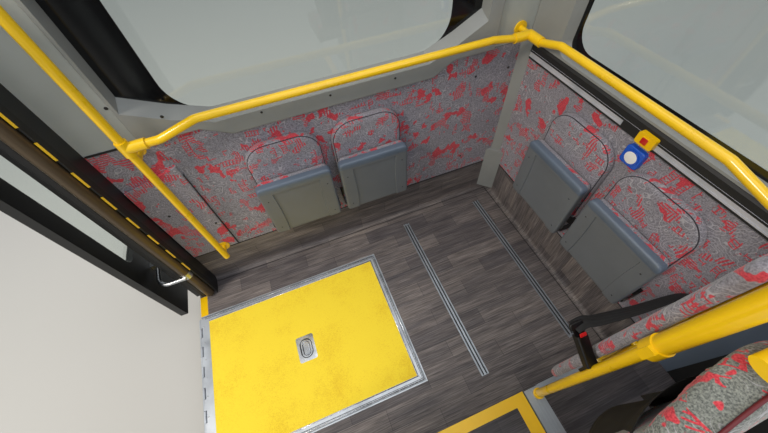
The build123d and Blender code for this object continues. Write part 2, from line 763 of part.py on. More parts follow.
# Rubber seals up both posts: outer x, inner x, how far each stands out of the post
seal_rows = ((10.0, 42.0, 32.0), (108.5, post_in, 36.0))
with BuildPart() as door_seals:
    for low_x, high_x, proud in seal_rows:
        with BuildSketch(Plane.XY.offset(floor_top)):
            with Locations(((low_x + high_x) / 2, post_front - proud / 2)):
                RectangleRounded(high_x - low_x, proud, min(8, (high_x - low_x) / 2 - 1))
            with Locations(((low_x + high_x) / 2, post_front - proud / 4)):
                Rectangle(high_x - low_x, proud / 2)
        extrude(amount=wall_high - header_high)
    mirror(about=doorway_plane)
save(door_seals, "door_seals")

# Turning columns of the outward swinging leaves, with a foot pin and a head bracket
column_foot = 26.0
column_top = 1790.0
with BuildPart() as door_columns:
    with BuildSketch(Plane.XY.offset(floor_top)):
        with Locations((column_x, column_y)):
            Circle(column_r / 2)
    extrude(amount=column_foot)
    with BuildSketch(Plane.XY.offset(above(column_foot))):
        with Locations((column_x, column_y)):
            Circle(column_r)
    extrude(amount=column_top - column_foot)
    with BuildSketch(Plane.XY.offset(above(column_top))):
        with Locations((column_x, (column_y + post_front) / 2)):
            Rectangle(column_r * 1.4, post_front - column_y)
        with Locations((column_x, column_y)):
            Circle(column_r * 0.7)
    extrude(amount=14)
    mirror(about=doorway_plane)
save(door_columns, "door_columns")

# Bent arms from the columns to the leaves
arm_heights = (315.0, 1752.0)
arm_ring = 3.0
arm_x = leaf_out + 17.0 + arm_r
arm_y = column_y - column_r - arm_ring / 2 - 3
arm_reach = 1410.0
with BuildPart() as door_arms:
    for arm_high in arm_heights:
        with BuildLine() as arm_path:
            FilletPolyline(
                (column_x, arm_y, above(arm_high)),
                (arm_x, arm_y, above(arm_high)),
                (arm_x, arm_reach, above(arm_high + 30)),
                radius=55,
            )
        with BuildSketch(Plane(origin=arm_path.line @ 0, z_dir=arm_path.line % 0)):
            Circle(arm_r)
        sweep()
        with BuildSketch(Plane.XY.offset(above(arm_high - 22))):
            with Locations((column_x, column_y)):
                Circle(column_r + arm_ring)
        extrude(amount=44)
        with BuildSketch(Plane.YZ.offset(leaf_out)):
            with Locations((arm_reach - 20, above(arm_high + 28))):
                RectangleRounded(80, 50, 10)
        extrude(amount=17.0 + arm_r)
    with BuildSketch(Plane.XY.offset(floor_top)):
        with Locations((column_x, column_y)):
            Circle(column_r)
    extrude(amount=wall_high, mode=Mode.SUBTRACT)
    mirror(about=doorway_plane)
save(door_arms, "door_arms")

# Door leaves parked outside, each with a glazed frame
leaf_end = leaf_edge + leaf_wide
leaf_top_rail = 130.0
leaf_window = (leaf_edge + leaf_stile, leaf_end - 60.0, leaf_panel_high, leaf_high - leaf_top_rail)
leaf_window_mid = (
    (leaf_window[0] + leaf_window[1]) / 2,
    above((leaf_window[2] + leaf_window[3]) / 2),
)
with BuildPart() as door_leaves:
    with BuildSketch(Plane.YZ.offset(leaf_out - leaf_thick)):
        with Locations(((leaf_edge + leaf_end) / 2, above((leaf_low + leaf_high) / 2))):
            RectangleRounded(leaf_wide, leaf_high - leaf_low, 12)
        with Locations(leaf_window_mid):
            RectangleRounded(
                leaf_window[1] - leaf_window[0],
                leaf_window[3] - leaf_window[2],
                40,
                mode=Mode.SUBTRACT,
            )
    extrude(amount=leaf_thick)
    mirror(about=doorway_plane)
save(door_leaves, "door_leaves")

with BuildPart() as door_glass:
    with BuildSketch(Plane.YZ.offset(leaf_out - leaf_thick * 0.8)):
        with Locations(leaf_window_mid):
            RectangleRounded(leaf_window[1] - leaf_window[0], leaf_window[3] - leaf_window[2], 40)
    extrude(amount=glass_thick)
    mirror(about=doorway_plane)
save(door_glass, "door_glass")

# Handrails
rail_y = bay_deep - tube_proud
rail_x = bay_wide - tube_proud
pole_clamp_high = 1182.0
corner_high = 1207.0
with BuildPart() as rear_rail:
    with BuildLine() as rear_path:
        FilletPolyline(
            (pole_x + tube_r + 2, rail_y, above(pole_clamp_high)),
            (pole_x + 128, rail_y, above(pole_clamp_high)),
            (pole_x + 288, rail_y, above(rear_rail_high)),
            (rail_x - 205, rail_y, above(rear_rail_high - 4)),
            (rail_x - 85, rail_y, above(corner_high)),
            (rail_x - 4, rail_y, above(corner_high)),
            radius=90,
        )
    with BuildSketch(Plane(origin=rear_path.line @ 0, z_dir=rear_path.line % 0)):
        Circle(tube_r)
    sweep()
save(rear_rail, "rear_rail")

side_rail_end_y = -580.0
side_rail_end_high = 985.0
with BuildPart() as side_rail:
    with BuildLine() as side_path:
        FilletPolyline(
            (rail_x, rail_y - tube_r - 2, above(corner_high)),
            (rail_x, 1200, above(corner_high)),
            (rail_x, 1085, above(side_rail_high)),
            (rail_x, 310, above(side_rail_high)),
            (rail_x, 150, above(side_rail_high - 36)),
            (rail_x, side_rail_end_y + 60, above(side_rail_high - 36)),
            (rail_x, side_rail_end_y, above(side_rail_end_high)),
            (bay_wide - flange_thick, side_rail_end_y, above(side_rail_end_high)),
            radius=45,
        )
    with BuildSketch(Plane(origin=side_path.line @ 0, z_dir=side_path.line % 0)):
        Circle(tube_r)
    sweep()
    with BuildSketch(Plane.YZ.offset(bay_wide - flange_thick)):
        with Locations((side_rail_end_y, above(side_rail_end_high))):
            Circle(flange_r)
    extrude(amount=flange_thick)
save(side_rail, "side_rail")

# Pole by the doorway, with stubs to the wall: height of the stub, surface it is screwed to, flange
stub_rows = (
    (pole_foot, bay_deep - box_panel_thick, flange_r),
    (1108.0, bay_deep, 24.0),
    (pole_top - 30, bay_deep, flange_r),
)
with BuildPart() as door_pole:
    with BuildSketch(Plane.XY.offset(above(pole_foot - 38))):
        with Locations((pole_x, rail_y)):
            Circle(tube_r)
    extrude(amount=pole_top - pole_foot + 38)
    fillet(edges().group_by(Axis.Z)[0] + edges().group_by(Axis.Z)[-1], 8)
    for stub_high, surface_y, radius in stub_rows:
        with BuildSketch(Plane.XZ.offset(-surface_y)):
            with Locations((pole_x, above(stub_high))):
                Circle(tube_r * 0.8)
        extrude(amount=surface_y - rail_y)
        with BuildSketch(Plane.XZ.offset(-surface_y)):
            with Locations((pole_x, above(stub_high))):
                Circle(radius)
        extrude(amount=flange_thick)
save(door_pole, "door_pole")

# Rail fittings: T clamp on the pole and the three-way corner piece on its wall flange
with BuildPart() as rail_fittings:
    with BuildSketch(Plane.XY.offset(above(pole_clamp_high - 34))):
        with Locations((pole_x, rail_y)):
            Circle(clamp_r)
    extrude(amount=68)
    with BuildSketch(Plane.YZ.offset(pole_x)):
        with Locations((rail_y, above(pole_clamp_high))):
            Circle(clamp_r)
    extrude(amount=78)
    with BuildSketch(Plane.YZ.offset(rail_x - 88)):
        with Locations((rail_y, above(corner_high))):
            Circle(clamp_r)
    extrude(amount=88)
    with BuildSketch(Plane.XZ.offset(-rail_y)):
        with Locations((rail_x, above(corner_high))):
            Circle(clamp_r)
    extrude(amount=88)
    with Locations((rail_x, rail_y, above(corner_high))):
        Sphere(clamp_r)
    with BuildSketch(Plane.XZ.offset(-bay_deep)):
        with Locations((rail_x, above(corner_high))):
            Circle(tube_r * 0.8)
    extrude(amount=tube_proud)
    with BuildSketch(Plane.XZ.offset(-bay_deep)):
        with Locations((rail_x, above(corner_high))):
            Circle(flange_r)
    extrude(amount=flange_thick)
    with BuildSketch(Plane.XY.offset(above(pole_clamp_high - 60))):
        with Locations((pole_x, rail_y)):
            Circle(tube_r)
    extrude(amount=120, mode=Mode.SUBTRACT)
    with BuildSketch(Plane(origin=rear_path.line @ 0, z_dir=rear_path.line % 0)):
        Circle(tube_r)
    extrude(amount=200, mode=Mode.SUBTRACT)
    with BuildSketch(Plane(origin=rear_path.line @ 1, z_dir=rear_path.line % 1)):
        Circle(tube_r)
    extrude(amount=-200, mode=Mode.SUBTRACT)
    with BuildSketch(Plane(origin=side_path.line @ 0, z_dir=side_path.line % 0)):
        Circle(tube_r)
    extrude(amount=200, mode=Mode.SUBTRACT)
save(rail_fittings, "rail_fittings")

# Tip-up seats. Each stands on its own plane on the lining: local X along the wall, local Y up,
# local Z out of the wall.
seat_rows = [
    (
        "rear_seat_" + str(number + 1),
        Plane(origin=(place, bay_deep, floor_top), x_dir=(1, 0, 0), z_dir=(0, -1, 0)),
    )
    for number, place in enumerate(seat_rear_x)
]
seat_rows += [
    (
        "side_seat_" + str(number + 1),
        Plane(origin=(bay_wide, place, floor_top), x_dir=(0, -1, 0), z_dir=(-1, 0, 0)),
    )
    for number, place in enumerate(seat_side_y)
]
half_seat = seat_wide / 2
ear_thick = 5.0
ear_gap = 2.0
cheek_thick = 15.0
pin_reach = cheek_thick - 1.0
with BuildPart() as seat_mounts:
    for name, wall in seat_rows:
        with BuildSketch(wall):
            with Locations((0, seat_axis_high)):
                Rectangle(2 * (half_seat + ear_gap + ear_thick), 70)
        extrude(amount=5)
        for ear_start, pin_start in (
            (half_seat + ear_gap, half_seat - pin_reach),
            (-half_seat - ear_gap - ear_thick, -half_seat - ear_gap - ear_thick),
        ):
            ear_plane = Plane(
                origin=wall.from_local_coords((ear_start, 0, 0)), x_dir=wall.z_dir, z_dir=wall.x_dir
            )
            with BuildSketch(ear_plane):
                with Locations((seat_axis_out / 2, -seat_axis_high)):
                    Rectangle(seat_axis_out, 50)
                with Locations((seat_axis_out, -seat_axis_high)):
                    Circle(25)
            extrude(amount=ear_thick)
            pin_plane = Plane(
                origin=wall.from_local_coords((pin_start, 0, 0)), x_dir=wall.z_dir, z_dir=wall.x_dir
            )
            with BuildSketch(pin_plane):
                with Locations((seat_axis_out, -seat_axis_high)):
                    Circle(seat_pin_r)
            extrude(amount=pin_reach + ear_gap + ear_thick)
save(seat_mounts, "seat_mounts")

back_round = 125.0
back_half = half_seat + 2.0
shell_recess = 5.0
shell_flange = 72.0
shell_head = 54.0
pan_cushion_low = 490.0
for name, wall in seat_rows:
    out_axis = Axis(wall.origin, wall.z_dir)
    with BuildPart() as seat_back:
        with BuildSketch(wall):
            with Locations((0, back_top - 2 * back_round)):
                RectangleRounded(2 * back_half, 4 * back_round, back_round)
            with Locations((0, back_low - 2 * back_round)):
                Rectangle(2 * back_half, 4 * back_round, mode=Mode.SUBTRACT)
        extrude(amount=back_thick)
        front_face = faces().filter_by(out_axis).sort_by(out_axis)[-1]
        fillet(front_face.edges(), 14)
    save(seat_back, name + "_back")

    with BuildPart() as seat_shell:
        with BuildSketch(wall.offset(cushion_in + cushion_thick)):
            with Locations((0, (pan_low + pan_top) / 2)):
                RectangleRounded(seat_wide, pan_top - pan_low, 22)
        extrude(amount=shell_thick)
        shell_face = faces().filter_by(out_axis).sort_by(out_axis)[-1]
        fillet(shell_face.edges(), 10)
        with BuildSketch(wall.offset(cushion_in + cushion_thick + shell_thick)):
            with Locations((0, pan_low + (pan_top - pan_low - shell_head) / 2)):
                Rectangle(seat_wide - 2 * shell_flange, pan_top - pan_low - shell_head)
        extrude(amount=-shell_recess, mode=Mode.SUBTRACT)
        with BuildSketch(wall.offset(seat_axis_out - 15)):
            for side in (-1, 1):
                with Locations((side * (half_seat - cheek_thick / 2), seat_axis_high)):
                    Rectangle(cheek_thick, 44)
        extrude(amount=cushion_in + cushion_thick + 4 - (seat_axis_out - 15))
        hole_plane = Plane(
            origin=wall.from_local_coords((-half_seat, 0, 0)), x_dir=wall.z_dir, z_dir=wall.x_dir
        )
        with BuildSketch(hole_plane):
            with Locations((seat_axis_out, -seat_axis_high)):
                Circle(seat_pin_r + pin_play)
        extrude(amount=seat_wide, mode=Mode.SUBTRACT)
    save(seat_shell, name + "_shell")

    with BuildPart() as seat_cushion:
        with BuildSketch(wall.offset(cushion_in)):
            with Locations((0, (pan_cushion_low + pan_top - 2) / 2)):
                RectangleRounded(seat_wide - 6, pan_top - 2 - pan_cushion_low, 24)
        extrude(amount=cushion_thick)
        cushion_face = faces().filter_by(out_axis).sort_by(out_axis)[0]
        fillet(cushion_face.edges(), 12)
    save(seat_cushion, name + "_cushion")

# Stanchion on the step with its thicker sleeve, the cross tubes that carry the back board, a second
# upright under them and the board's own tube above. Cross tubes: height, far end.
second_x = board_x0 + 368
cross_r = 15.0
board_gap = 0.3
board_tube_x = board_x0 + 58
board_tube_y = board_y0 - board_gap - tube_r
cross_rows = ((560.0, bay_wide - flange_thick), (1180.0, second_x))
with BuildPart() as stanchion:
    with BuildSketch(Plane.XY.offset(raised_top + trim_high_edge)):
        with Locations((stanchion_x, stanchion_y)):
            Circle(24)
    extrude(amount=12)
    with BuildSketch(Plane.XY.offset(raised_top + trim_high_edge)):
        with Locations((stanchion_x, stanchion_y)):
            Circle(tube_r)
    extrude(amount=above(sleeve_low) - raised_top)
    with BuildSketch(Plane.XY.offset(above(sleeve_low))):
        with Locations((stanchion_x, stanchion_y)):
            Circle(sleeve_r)
    extrude(amount=stanchion_top - sleeve_low)
    with BuildSketch(Plane.XY.offset(above(sleeve_low))):
        with Locations((stanchion_x, stanchion_y)):
            Circle(sleeve_r + 4)
            Rectangle(74, 24)
    extrude(amount=52)
    with BuildSketch(Plane.XY.offset(raised_top + nosing_thick)):
        with Locations((second_x, stanchion_y)):
            Circle(tube_r)
    extrude(amount=above(cross_rows[1][0] + 30) - raised_top - nosing_thick)
    with BuildSketch(Plane.XY.offset(raised_top + nosing_thick)):
        with Locations((second_x, stanchion_y)):
            Circle(30)
    extrude(amount=flange_thick)
    for cross_high, cross_end in cross_rows:
        with BuildSketch(Plane.YZ.offset(stanchion_x)):
            with Locations((stanchion_y, above(cross_high))):
                Circle(cross_r)
        extrude(amount=cross_end - stanchion_x)
        with BuildSketch(Plane.XZ.offset(-(board_y0 - board_gap))):
            with Locations((board_x0 + 150, above(cross_high)), (board_x0 + board_wide - 90, above(cross_high))):
                Circle(14)
        extrude(amount=board_y0 - board_gap - stanchion_y)
    with BuildSketch(Plane.YZ.offset(bay_wide - flange_thick)):
        with Locations((stanchion_y, above(cross_rows[0][0]))):
            Circle(flange_r - 4)
    extrude(amount=flange_thick)
    with BuildSketch(Plane.XY.offset(above(cross_rows[1][0]))):
        with Locations((board_tube_x, board_tube_y)):
            Circle(tube_r)
    extrude(amount=stanchion_top - cross_rows[1][0])
save(stanchion, "stanchion")

# Padded back board of the wheelchair place
with BuildPart() as back_board:
    with BuildSketch(Plane.XZ.offset(-board_y0)):
        with Locations((board_x0 + board_wide / 2, above((board_low + board_top) / 2))):
            RectangleRounded(board_wide, board_top - board_low, 34)
    extrude(amount=-board_thick)
    fillet(edges().group_by(Axis.Y)[0] + edges().group_by(Axis.Y)[-1], 14)
save(back_board, "back_board")

# Lap belt: the buckle on its stalk, and the strap from its tongue to the board's far edge
buckle_long = 110.0
tongue_end = 142.0
buckle_plane = Plane(origin=(stanchion_x, -4, above(belt_high - 74)), x_dir=(1, 0, 0), z_dir=(0, 119, 82))
strap_far = board_x0 + board_wide + 8.0
with BuildPart() as belt_strap:
    with BuildSketch(Plane.XY.offset(above(belt_high - belt_wide / 2))):
        with BuildLine():
            Polyline(
                (stanchion_x - 6, 112),
                (stanchion_x + 30, 114),
                (stanchion_x + 80, 96),
                (board_x0 + 212, 78),
                (board_x0 + 388, 62),
                (strap_far, 44),
                (strap_far, 10),
            )
        trace(line_width=belt_thick)
    extrude(amount=belt_wide)
save(belt_strap, "belt_strap")

with BuildPart() as belt_buckle:
    with BuildSketch(buckle_plane):
        RectangleRounded(43, 32, 8)
    extrude(amount=buckle_long)
    with BuildSketch(buckle_plane.offset(-16)):
        Rectangle(24, 5)
    extrude(amount=17)
    with BuildSketch(Plane.XZ.offset(10)):
        with Locations((stanchion_x, above(belt_high - 105))):
            RectangleRounded(28, 74, 8)
    extrude(amount=-10)
    with BuildSketch(buckle_plane.offset(buckle_long - 1)):
        Rectangle(40, 4)
    extrude(amount=tongue_end - buckle_long + 1)
    with BuildSketch(Plane.XY.offset(above(belt_high - 270))):
        with Locations((stanchion_x, stanchion_y)):
            Circle(tube_r)
    extrude(amount=300, mode=Mode.SUBTRACT)
    add(belt_strap.part, mode=Mode.SUBTRACT)
save(belt_buckle, "belt_buckle")

# Call buttons of the wheelchair place on the side wall
button_y = seat_side_y[0] + seat_wide / 2 + 14
button_high = back_top + 2
button_size = 88.0
with BuildPart() as wheelchair_button:
    with BuildSketch(Plane.YZ.offset(bay_wide - 22)):
        with Locations((button_y, above(button_high))):
            RectangleRounded(button_size, button_size, 16)
    extrude(amount=22)
    fillet(edges().group_by(Axis.X)[0], 6)
    with BuildSketch(Plane.YZ.offset(bay_wide - 22)):
        with Locations((button_y, above(button_high))):
            Circle(34)
    extrude(amount=-4)
save(wheelchair_button, "wheelchair_button")

stop_y = button_y - 6
stop_high = 1092.0
with BuildPart() as stop_button:
    with BuildSketch(Plane.YZ.offset(strip_face)):
        with Locations((stop_y, above(stop_high))):
            RectangleRounded(76, 50, 8)
    extrude(amount=-22)
    with BuildSketch(Plane.YZ.offset(strip_face - 22)):
        with Locations((stop_y, above(stop_high))):
            RectangleRounded(30, 30, 4)
    extrude(amount=-4)
save(stop_button, "stop_button")

# First seat on the raised floor, facing forward
first_left = first_x - first_wide / 2
first_right = first_x + first_wide / 2
first_shoulder = first_top - 150.0
first_cushion_top = step_high + first_seat_high
first_cushion_thick = 85.0
first_edge = first_rear - 60.0
with BuildPart() as first_seat_back:
    with BuildSketch(Plane.XY.offset(above(first_cushion_top + 6))):
        with BuildLine():
            ThreePointArc((first_left, first_edge), (first_x, first_rear), (first_right, first_edge))
            Line((first_right, first_edge), (first_right, first_edge - first_thick * 0.8))
            ThreePointArc(
                (first_right, first_edge - first_thick * 0.8),
                (first_x, first_rear - first_thick),
                (first_left, first_edge - first_thick * 0.8),
            )
            Line((first_left, first_edge - first_thick * 0.8), (first_left, first_edge))
        make_face()
    extrude(amount=first_top - first_cushion_top - 6)
    with BuildSketch(Plane.XZ.offset(-first_rear)):
        with BuildLine():
            Polyline(
                (first_left, above(first_shoulder)),
                (first_left, above(first_cushion_top + 6)),
                (first_right, above(first_cushion_top + 6)),
                (first_right, above(first_shoulder)),
            )
            ThreePointArc(
                (first_right, above(first_shoulder)),
                (first_x, above(first_top)),
                (first_left, above(first_shoulder)),
            )
        make_face()
    extrude(amount=first_thick * 3, mode=Mode.INTERSECT)
save(first_seat_back, "first_seat_back")

first_cushion_rear = first_edge - first_thick * 0.8 - 4.0
first_cushion_long = 430.0
with BuildPart() as first_seat_cushion:
    with BuildSketch(Plane.XY.offset(above(first_cushion_top - first_cushion_thick))):
        with Locations((first_x, first_cushion_rear - first_cushion_long / 2)):
            RectangleRounded(first_wide, first_cushion_long, 40)
    extrude(amount=first_cushion_thick)
    fillet(edges().group_by(Axis.Z)[-1], 22)
save(first_seat_cushion, "first_seat_cushion")

# Seat frame: rails under the cushion, two uprights behind it and a leg with a foot plate
frame_top = first_cushion_top - first_cushion_thick
with BuildPart() as first_seat_frame:
    with BuildSketch(Plane.XY.offset(above(frame_top - 30))):
        with Locations((first_x, first_cushion_rear - first_cushion_long / 2)):
            Rectangle(first_wide - 40, first_cushion_long - 40)
            Rectangle(first_wide - 100, first_cushion_long - 100, mode=Mode.SUBTRACT)
        with Locations((first_x + 60, first_cushion_rear - first_cushion_long / 2)):
            Rectangle(70, first_cushion_long - 60)
    extrude(amount=30)
    with BuildSketch(Plane.XY.offset(raised_top + 8)):
        with Locations((first_x + 60, first_cushion_rear - first_cushion_long / 2)):
            Rectangle(60, 260)
            Rectangle(48, 248, mode=Mode.SUBTRACT)
    extrude(amount=above(frame_top - 30) - raised_top - 8)
    with BuildSketch(Plane.XY.offset(raised_top)):
        with Locations((first_x + 70, first_cushion_rear - first_cushion_long / 2)):
            RectangleRounded(110, 340, 12)
    extrude(amount=8)
    with BuildSketch(Plane.YZ.offset(first_x - first_wide / 2 + 20)):
        with Locations((first_cushion_rear + 8, above(frame_top + 60))):
            Rectangle(72, 180)
    extrude(amount=6)
    with BuildSketch(Plane.YZ.offset(first_x + first_wide / 2 - 26)):
        with Locations((first_cushion_rear + 8, above(frame_top + 60))):
            Rectangle(72, 180)
    extrude(amount=6)
    add(first_seat_back.part, mode=Mode.SUBTRACT)
    add(first_seat_cushion.part, mode=Mode.SUBTRACT)
save(first_seat_frame, "first_seat_frame")

# Grab handle moulded round the top of the seat back
with BuildPart() as first_seat_handle:
    with BuildLine() as handle_path:
        FilletPolyline(
            (first_x - 40, first_rear - 49, above(first_top + 30)),
            (first_x + 60, first_rear - 55, above(first_top + 30)),
            (first_x + 150, first_rear - 93, above(first_top + 18)),
            radius=60,
        )
    with BuildSketch(Plane(origin=handle_path.line @ 0, x_dir=(0, 1, 0), z_dir=handle_path.line % 0)):
        Ellipse(29, 17)
    sweep()
    for place in (0.2, 0.8):
        with BuildSketch(Plane.XY.offset(above(first_top - 60))):
            spot = handle_path.line @ place
            with Locations((spot.X, spot.Y)):
                Circle(12)
        extrude(amount=85)
    add(first_seat_back.part, mode=Mode.SUBTRACT)
save(first_seat_handle, "first_seat_handle")
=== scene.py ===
import math

import bmesh
import bpy
from bpy.props import FloatProperty, FloatVectorProperty, PointerProperty
from mathutils import Matrix, Vector
from mathutils.bvhtree import BVHTree


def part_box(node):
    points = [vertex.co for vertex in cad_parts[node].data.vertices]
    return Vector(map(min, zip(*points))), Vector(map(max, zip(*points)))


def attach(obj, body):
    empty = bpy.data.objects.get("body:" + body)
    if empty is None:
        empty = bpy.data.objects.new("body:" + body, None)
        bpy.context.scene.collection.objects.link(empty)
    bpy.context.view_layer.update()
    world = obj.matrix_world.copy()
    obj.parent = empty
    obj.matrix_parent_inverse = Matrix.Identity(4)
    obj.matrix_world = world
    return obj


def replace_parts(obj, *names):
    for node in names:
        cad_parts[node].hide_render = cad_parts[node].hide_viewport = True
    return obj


bl_info = {
    "name": "Minibus wheelchair bay",
    "version": (1, 0, 0),
    "blender": (4, 5, 0),
    "location": "View3D > Sidebar > Bay",
    "description": "Finishes and soft pieces of a minibus rear wheelchair bay on its packed frame",
    "category": "Object",
}

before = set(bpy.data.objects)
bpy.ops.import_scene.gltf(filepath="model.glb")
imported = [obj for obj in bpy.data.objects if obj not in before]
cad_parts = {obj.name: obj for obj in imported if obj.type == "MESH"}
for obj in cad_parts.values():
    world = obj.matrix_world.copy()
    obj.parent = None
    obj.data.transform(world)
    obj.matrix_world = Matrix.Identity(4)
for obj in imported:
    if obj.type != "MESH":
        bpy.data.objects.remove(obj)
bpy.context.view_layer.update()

# Places taken from the frame, in metres
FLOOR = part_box("floor_deck")[1].z
LINING_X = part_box("side_lining")[0].x
LINING_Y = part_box("rear_lining")[0].y
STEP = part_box("raised_deck")[1].z

# Floor, in millimetres but for the first
RAIL_HALF = 0.0225      # half a strap rail's width, in metres
CHANNEL_OFF = 9         # from a rail's middle to each of its channels
CHANNEL_END = 14        # plain metal at a rail's ends
COVE_FOOT = 31          # from the lining to the foot of the turned-up vinyl
# Ramp, in millimetres: from the edge profile's outside to its rim, its groove and its hinge
# leaf, and from the board's edge to the bead that holds it
RIM, GROOVE, HINGE_LEAF = 4, 11, 40
BEAD_OFF = 4
# Walls, in millimetres along the rear lining and up from the floor
LINING_SEAM = 1957
LINING_TOP = 1139
SHADE_PANEL_MIDDLE = 560
# Middle height of the near-black panel of painted shade on the side wall
# Padding, in metres
SEAT_GRID = 0.0055      # mesh width of the tip-up seats' pads
FIRST_GRID = 0.0075     # mesh width of the first seat's pads
BACK_BOW = 0.060        # how far the first seat's back curves round the shoulders
BACK_THICK = 0.095      # the first seat's back, through its padding
SEAT_SWELL = 0.7        # share of the swelling that the thin pads of the tip-up seats take
SEATS = ("rear_seat_1", "rear_seat_2", "side_seat_1", "side_seat_2")
FLAT = Matrix.Identity(4)
MM = Matrix.Scale(0.001, 4)


# Colours and nodes
def linear(code):
    """Linear colour of an sRGB hex value, or of a colour setting by its name."""
    if code[0] != "#":
        return tuple(getattr(bpy.context.scene.bay_colours, code))
    parts = [int(code[i:i + 2], 16) / 255 for i in (1, 3, 5)]
    return tuple(p / 12.92 if p <= 0.04045 else ((p + 0.055) / 1.055) ** 2.4
                 for p in parts) + (1.0,)


def add(tree, kind, inputs=(), stops=(), **settings):
    """Adds a node with its settings. Its inputs are a row in their order, or named; each gets a
    value, or a link if it is given a socket or a node, whose first output is meant. Stops are
    the places and colours of a colour ramp."""
    made = tree.nodes.new("ShaderNode" + kind)
    for name, value in settings.items():
        setattr(made, name, value)
    named = inputs if isinstance(inputs, dict) else dict(enumerate(inputs))
    for key, value in named.items():
        source = value.outputs[0] if isinstance(value, bpy.types.Node) else value
        if isinstance(source, bpy.types.NodeSocket):
            tree.links.new(source, made.inputs[key])
        else:
            made.inputs[key].default_value = source
    while stops and len(made.color_ramp.elements) < len(stops):
        made.color_ramp.elements.new(0.5)
    for k, (place, code) in enumerate(stops):
        made.color_ramp.elements[k].position = place
        made.color_ramp.elements[k].color = linear(code)
    return made


def begin(name, colour, roughness, **inputs):
    """A material with one shader, and the place on the piece as the source of its patterns."""
    material = bpy.data.materials.new(name)
    material.use_nodes = True
    tree = material.node_tree
    tree.nodes.clear()
    values = {"Base Color": linear(colour), "Roughness": roughness}
    values.update({key.replace("_", " "): value for key, value in inputs.items()})
    shader = add(tree, "BsdfPrincipled", values)
    add(tree, "OutputMaterial", [shader])
    return material, tree, shader, add(tree, "TexCoord").outputs["Object"]


def pattern(tree, shader, colour=None, gloss=None, relief=None):
    """Lets the shader follow patterns: a colour; a gloss as a pattern and the roughness at its
    low and high end; a relief as a pattern, its real depth in millimetres and its strength."""
    if colour:
        tree.links.new(colour, shader.inputs["Base Color"])
    if gloss:
        rough = add(tree, "MapRange", {0: gloss[0], 3: gloss[1], 4: gloss[2]})
        tree.links.new(rough.outputs[0], shader.inputs["Roughness"])
    if relief:
        bump = add(tree, "Bump", {"Height": relief[0], "Distance": relief[1] / 1000,
                                  "Strength": relief[2]})
        tree.links.new(bump.outputs[0], shader.inputs["Normal"])


def vinyl_planks(name, light, dark):
    # Homogeneous vinyl sheet, printed with oak planks and rolled matt: fine streaks along each
    # plank, faint joints, a soft sheen. On the walls the same sheet is turned up.
    made, tree, shader, place = begin(name, dark, 0.45, IOR=1.52)
    at = add(tree, "SeparateXYZ", [place]).outputs
    facing = add(tree, "NewGeometry").outputs["True Normal"]
    turn = add(tree, "SeparateXYZ", [facing]).outputs
    where = add(tree, "CombineXYZ", [at[0], at[1]]).outputs[0]
    # The rear wall faces along y and takes its sheet from x and z; the side wall from z and y
    for faces, first, second in ((1, 0, 2), (0, 2, 1)):
        size = add(tree, "Math", [turn[faces], 0.0], operation="ABSOLUTE")
        steep = add(tree, "Math", [size, 0.6], operation="GREATER_THAN")
        wall = add(tree, "CombineXYZ", [at[first], at[second]])
        where = add(tree, "Mix", {0: steep, 4: where, 5: wall}, data_type="VECTOR").outputs[1]
    # Printed planks 100 mm wide and 460 mm long
    planks = add(tree, "TexBrick", {
        "Vector": where, "Color1": linear(light), "Color2": linear(dark),
        "Mortar": linear("#37363B"), "Scale": 1.0, "Mortar Size": 0.0009, "Mortar Smooth": 0.4,
        "Brick Width": 0.46, "Row Height": 0.1}, offset=0.41)
    # Streaks of 3 to 5 mm, some 150 mm long, in broader ones of 40 mm
    fine = add(tree, "Mapping", {"Vector": where, "Scale": (6.0, 210.0, 1.0)})
    grain = add(tree, "TexNoise", {"Vector": fine, "Scale": 1.0, "Detail": 5.0,
                                   "Roughness": 0.65, "Distortion": 0.4})
    broad = add(tree, "Mapping", {"Vector": where, "Scale": (2.2, 24.0, 1.0)})
    cloud = add(tree, "TexNoise", {"Vector": broad, "Scale": 1.0, "Detail": 3.0})
    streak = add(tree, "ValToRGB", [grain],
                 ((0.28, "#5E5B5E"), (0.52, "#B9B4B2"), (0.78, "#FFFFFF")))
    shade = add(tree, "ValToRGB", [cloud], ((0.25, "#A5A5AA"), (0.75, "#FFFAF2")))
    tone = planks.outputs[0]
    for share, over, blend in ((1.0, streak, "MULTIPLY"), (1.0, shade, "MULTIPLY"),
                               (0.55, linear("#E6E6E6"), "DODGE")):
        tone = add(tree, "Mix", {0: share, 6: tone, 7: over}, data_type="RGBA",
                   blend_type=blend).outputs[2]
    pattern(tree, shader, tone, (grain, 0.5, 0.72), (grain, 0.25, 0.5))
    return made


def stripes(tree, source, pitch_mm, share):
    """Repeats a place in metres as stripes of a pitch, one share of each lit."""
    count = add(tree, "Math", [source, 1000 / pitch_mm], operation="MULTIPLY")
    turn = add(tree, "Math", [count], operation="FRACT")
    return add(tree, "Math", [turn, share], operation="LESS_THAN")


def ladder(tree, across, along, pitch_mm, rung_mm):
    """Two lines with rungs between them, repeated at a pitch."""
    count = add(tree, "Math", [across, 1000 / pitch_mm], operation="MULTIPLY")
    turn = add(tree, "Math", [count], operation="FRACT")
    off = add(tree, "Math", [turn, 0.5], operation="SUBTRACT")
    off = add(tree, "Math", [off], operation="ABSOLUTE")
    inner = add(tree, "Math", [off, 0.17], operation="LESS_THAN")
    outer = add(tree, "Math", [off, 0.24], operation="LESS_THAN")
    sides = add(tree, "Math", [outer, inner], operation="SUBTRACT")
    rungs = add(tree, "Math", [outer, stripes(tree, along, rung_mm, 0.34)], operation="MULTIPLY")
    return add(tree, "Math", [sides, rungs], operation="MAXIMUM")


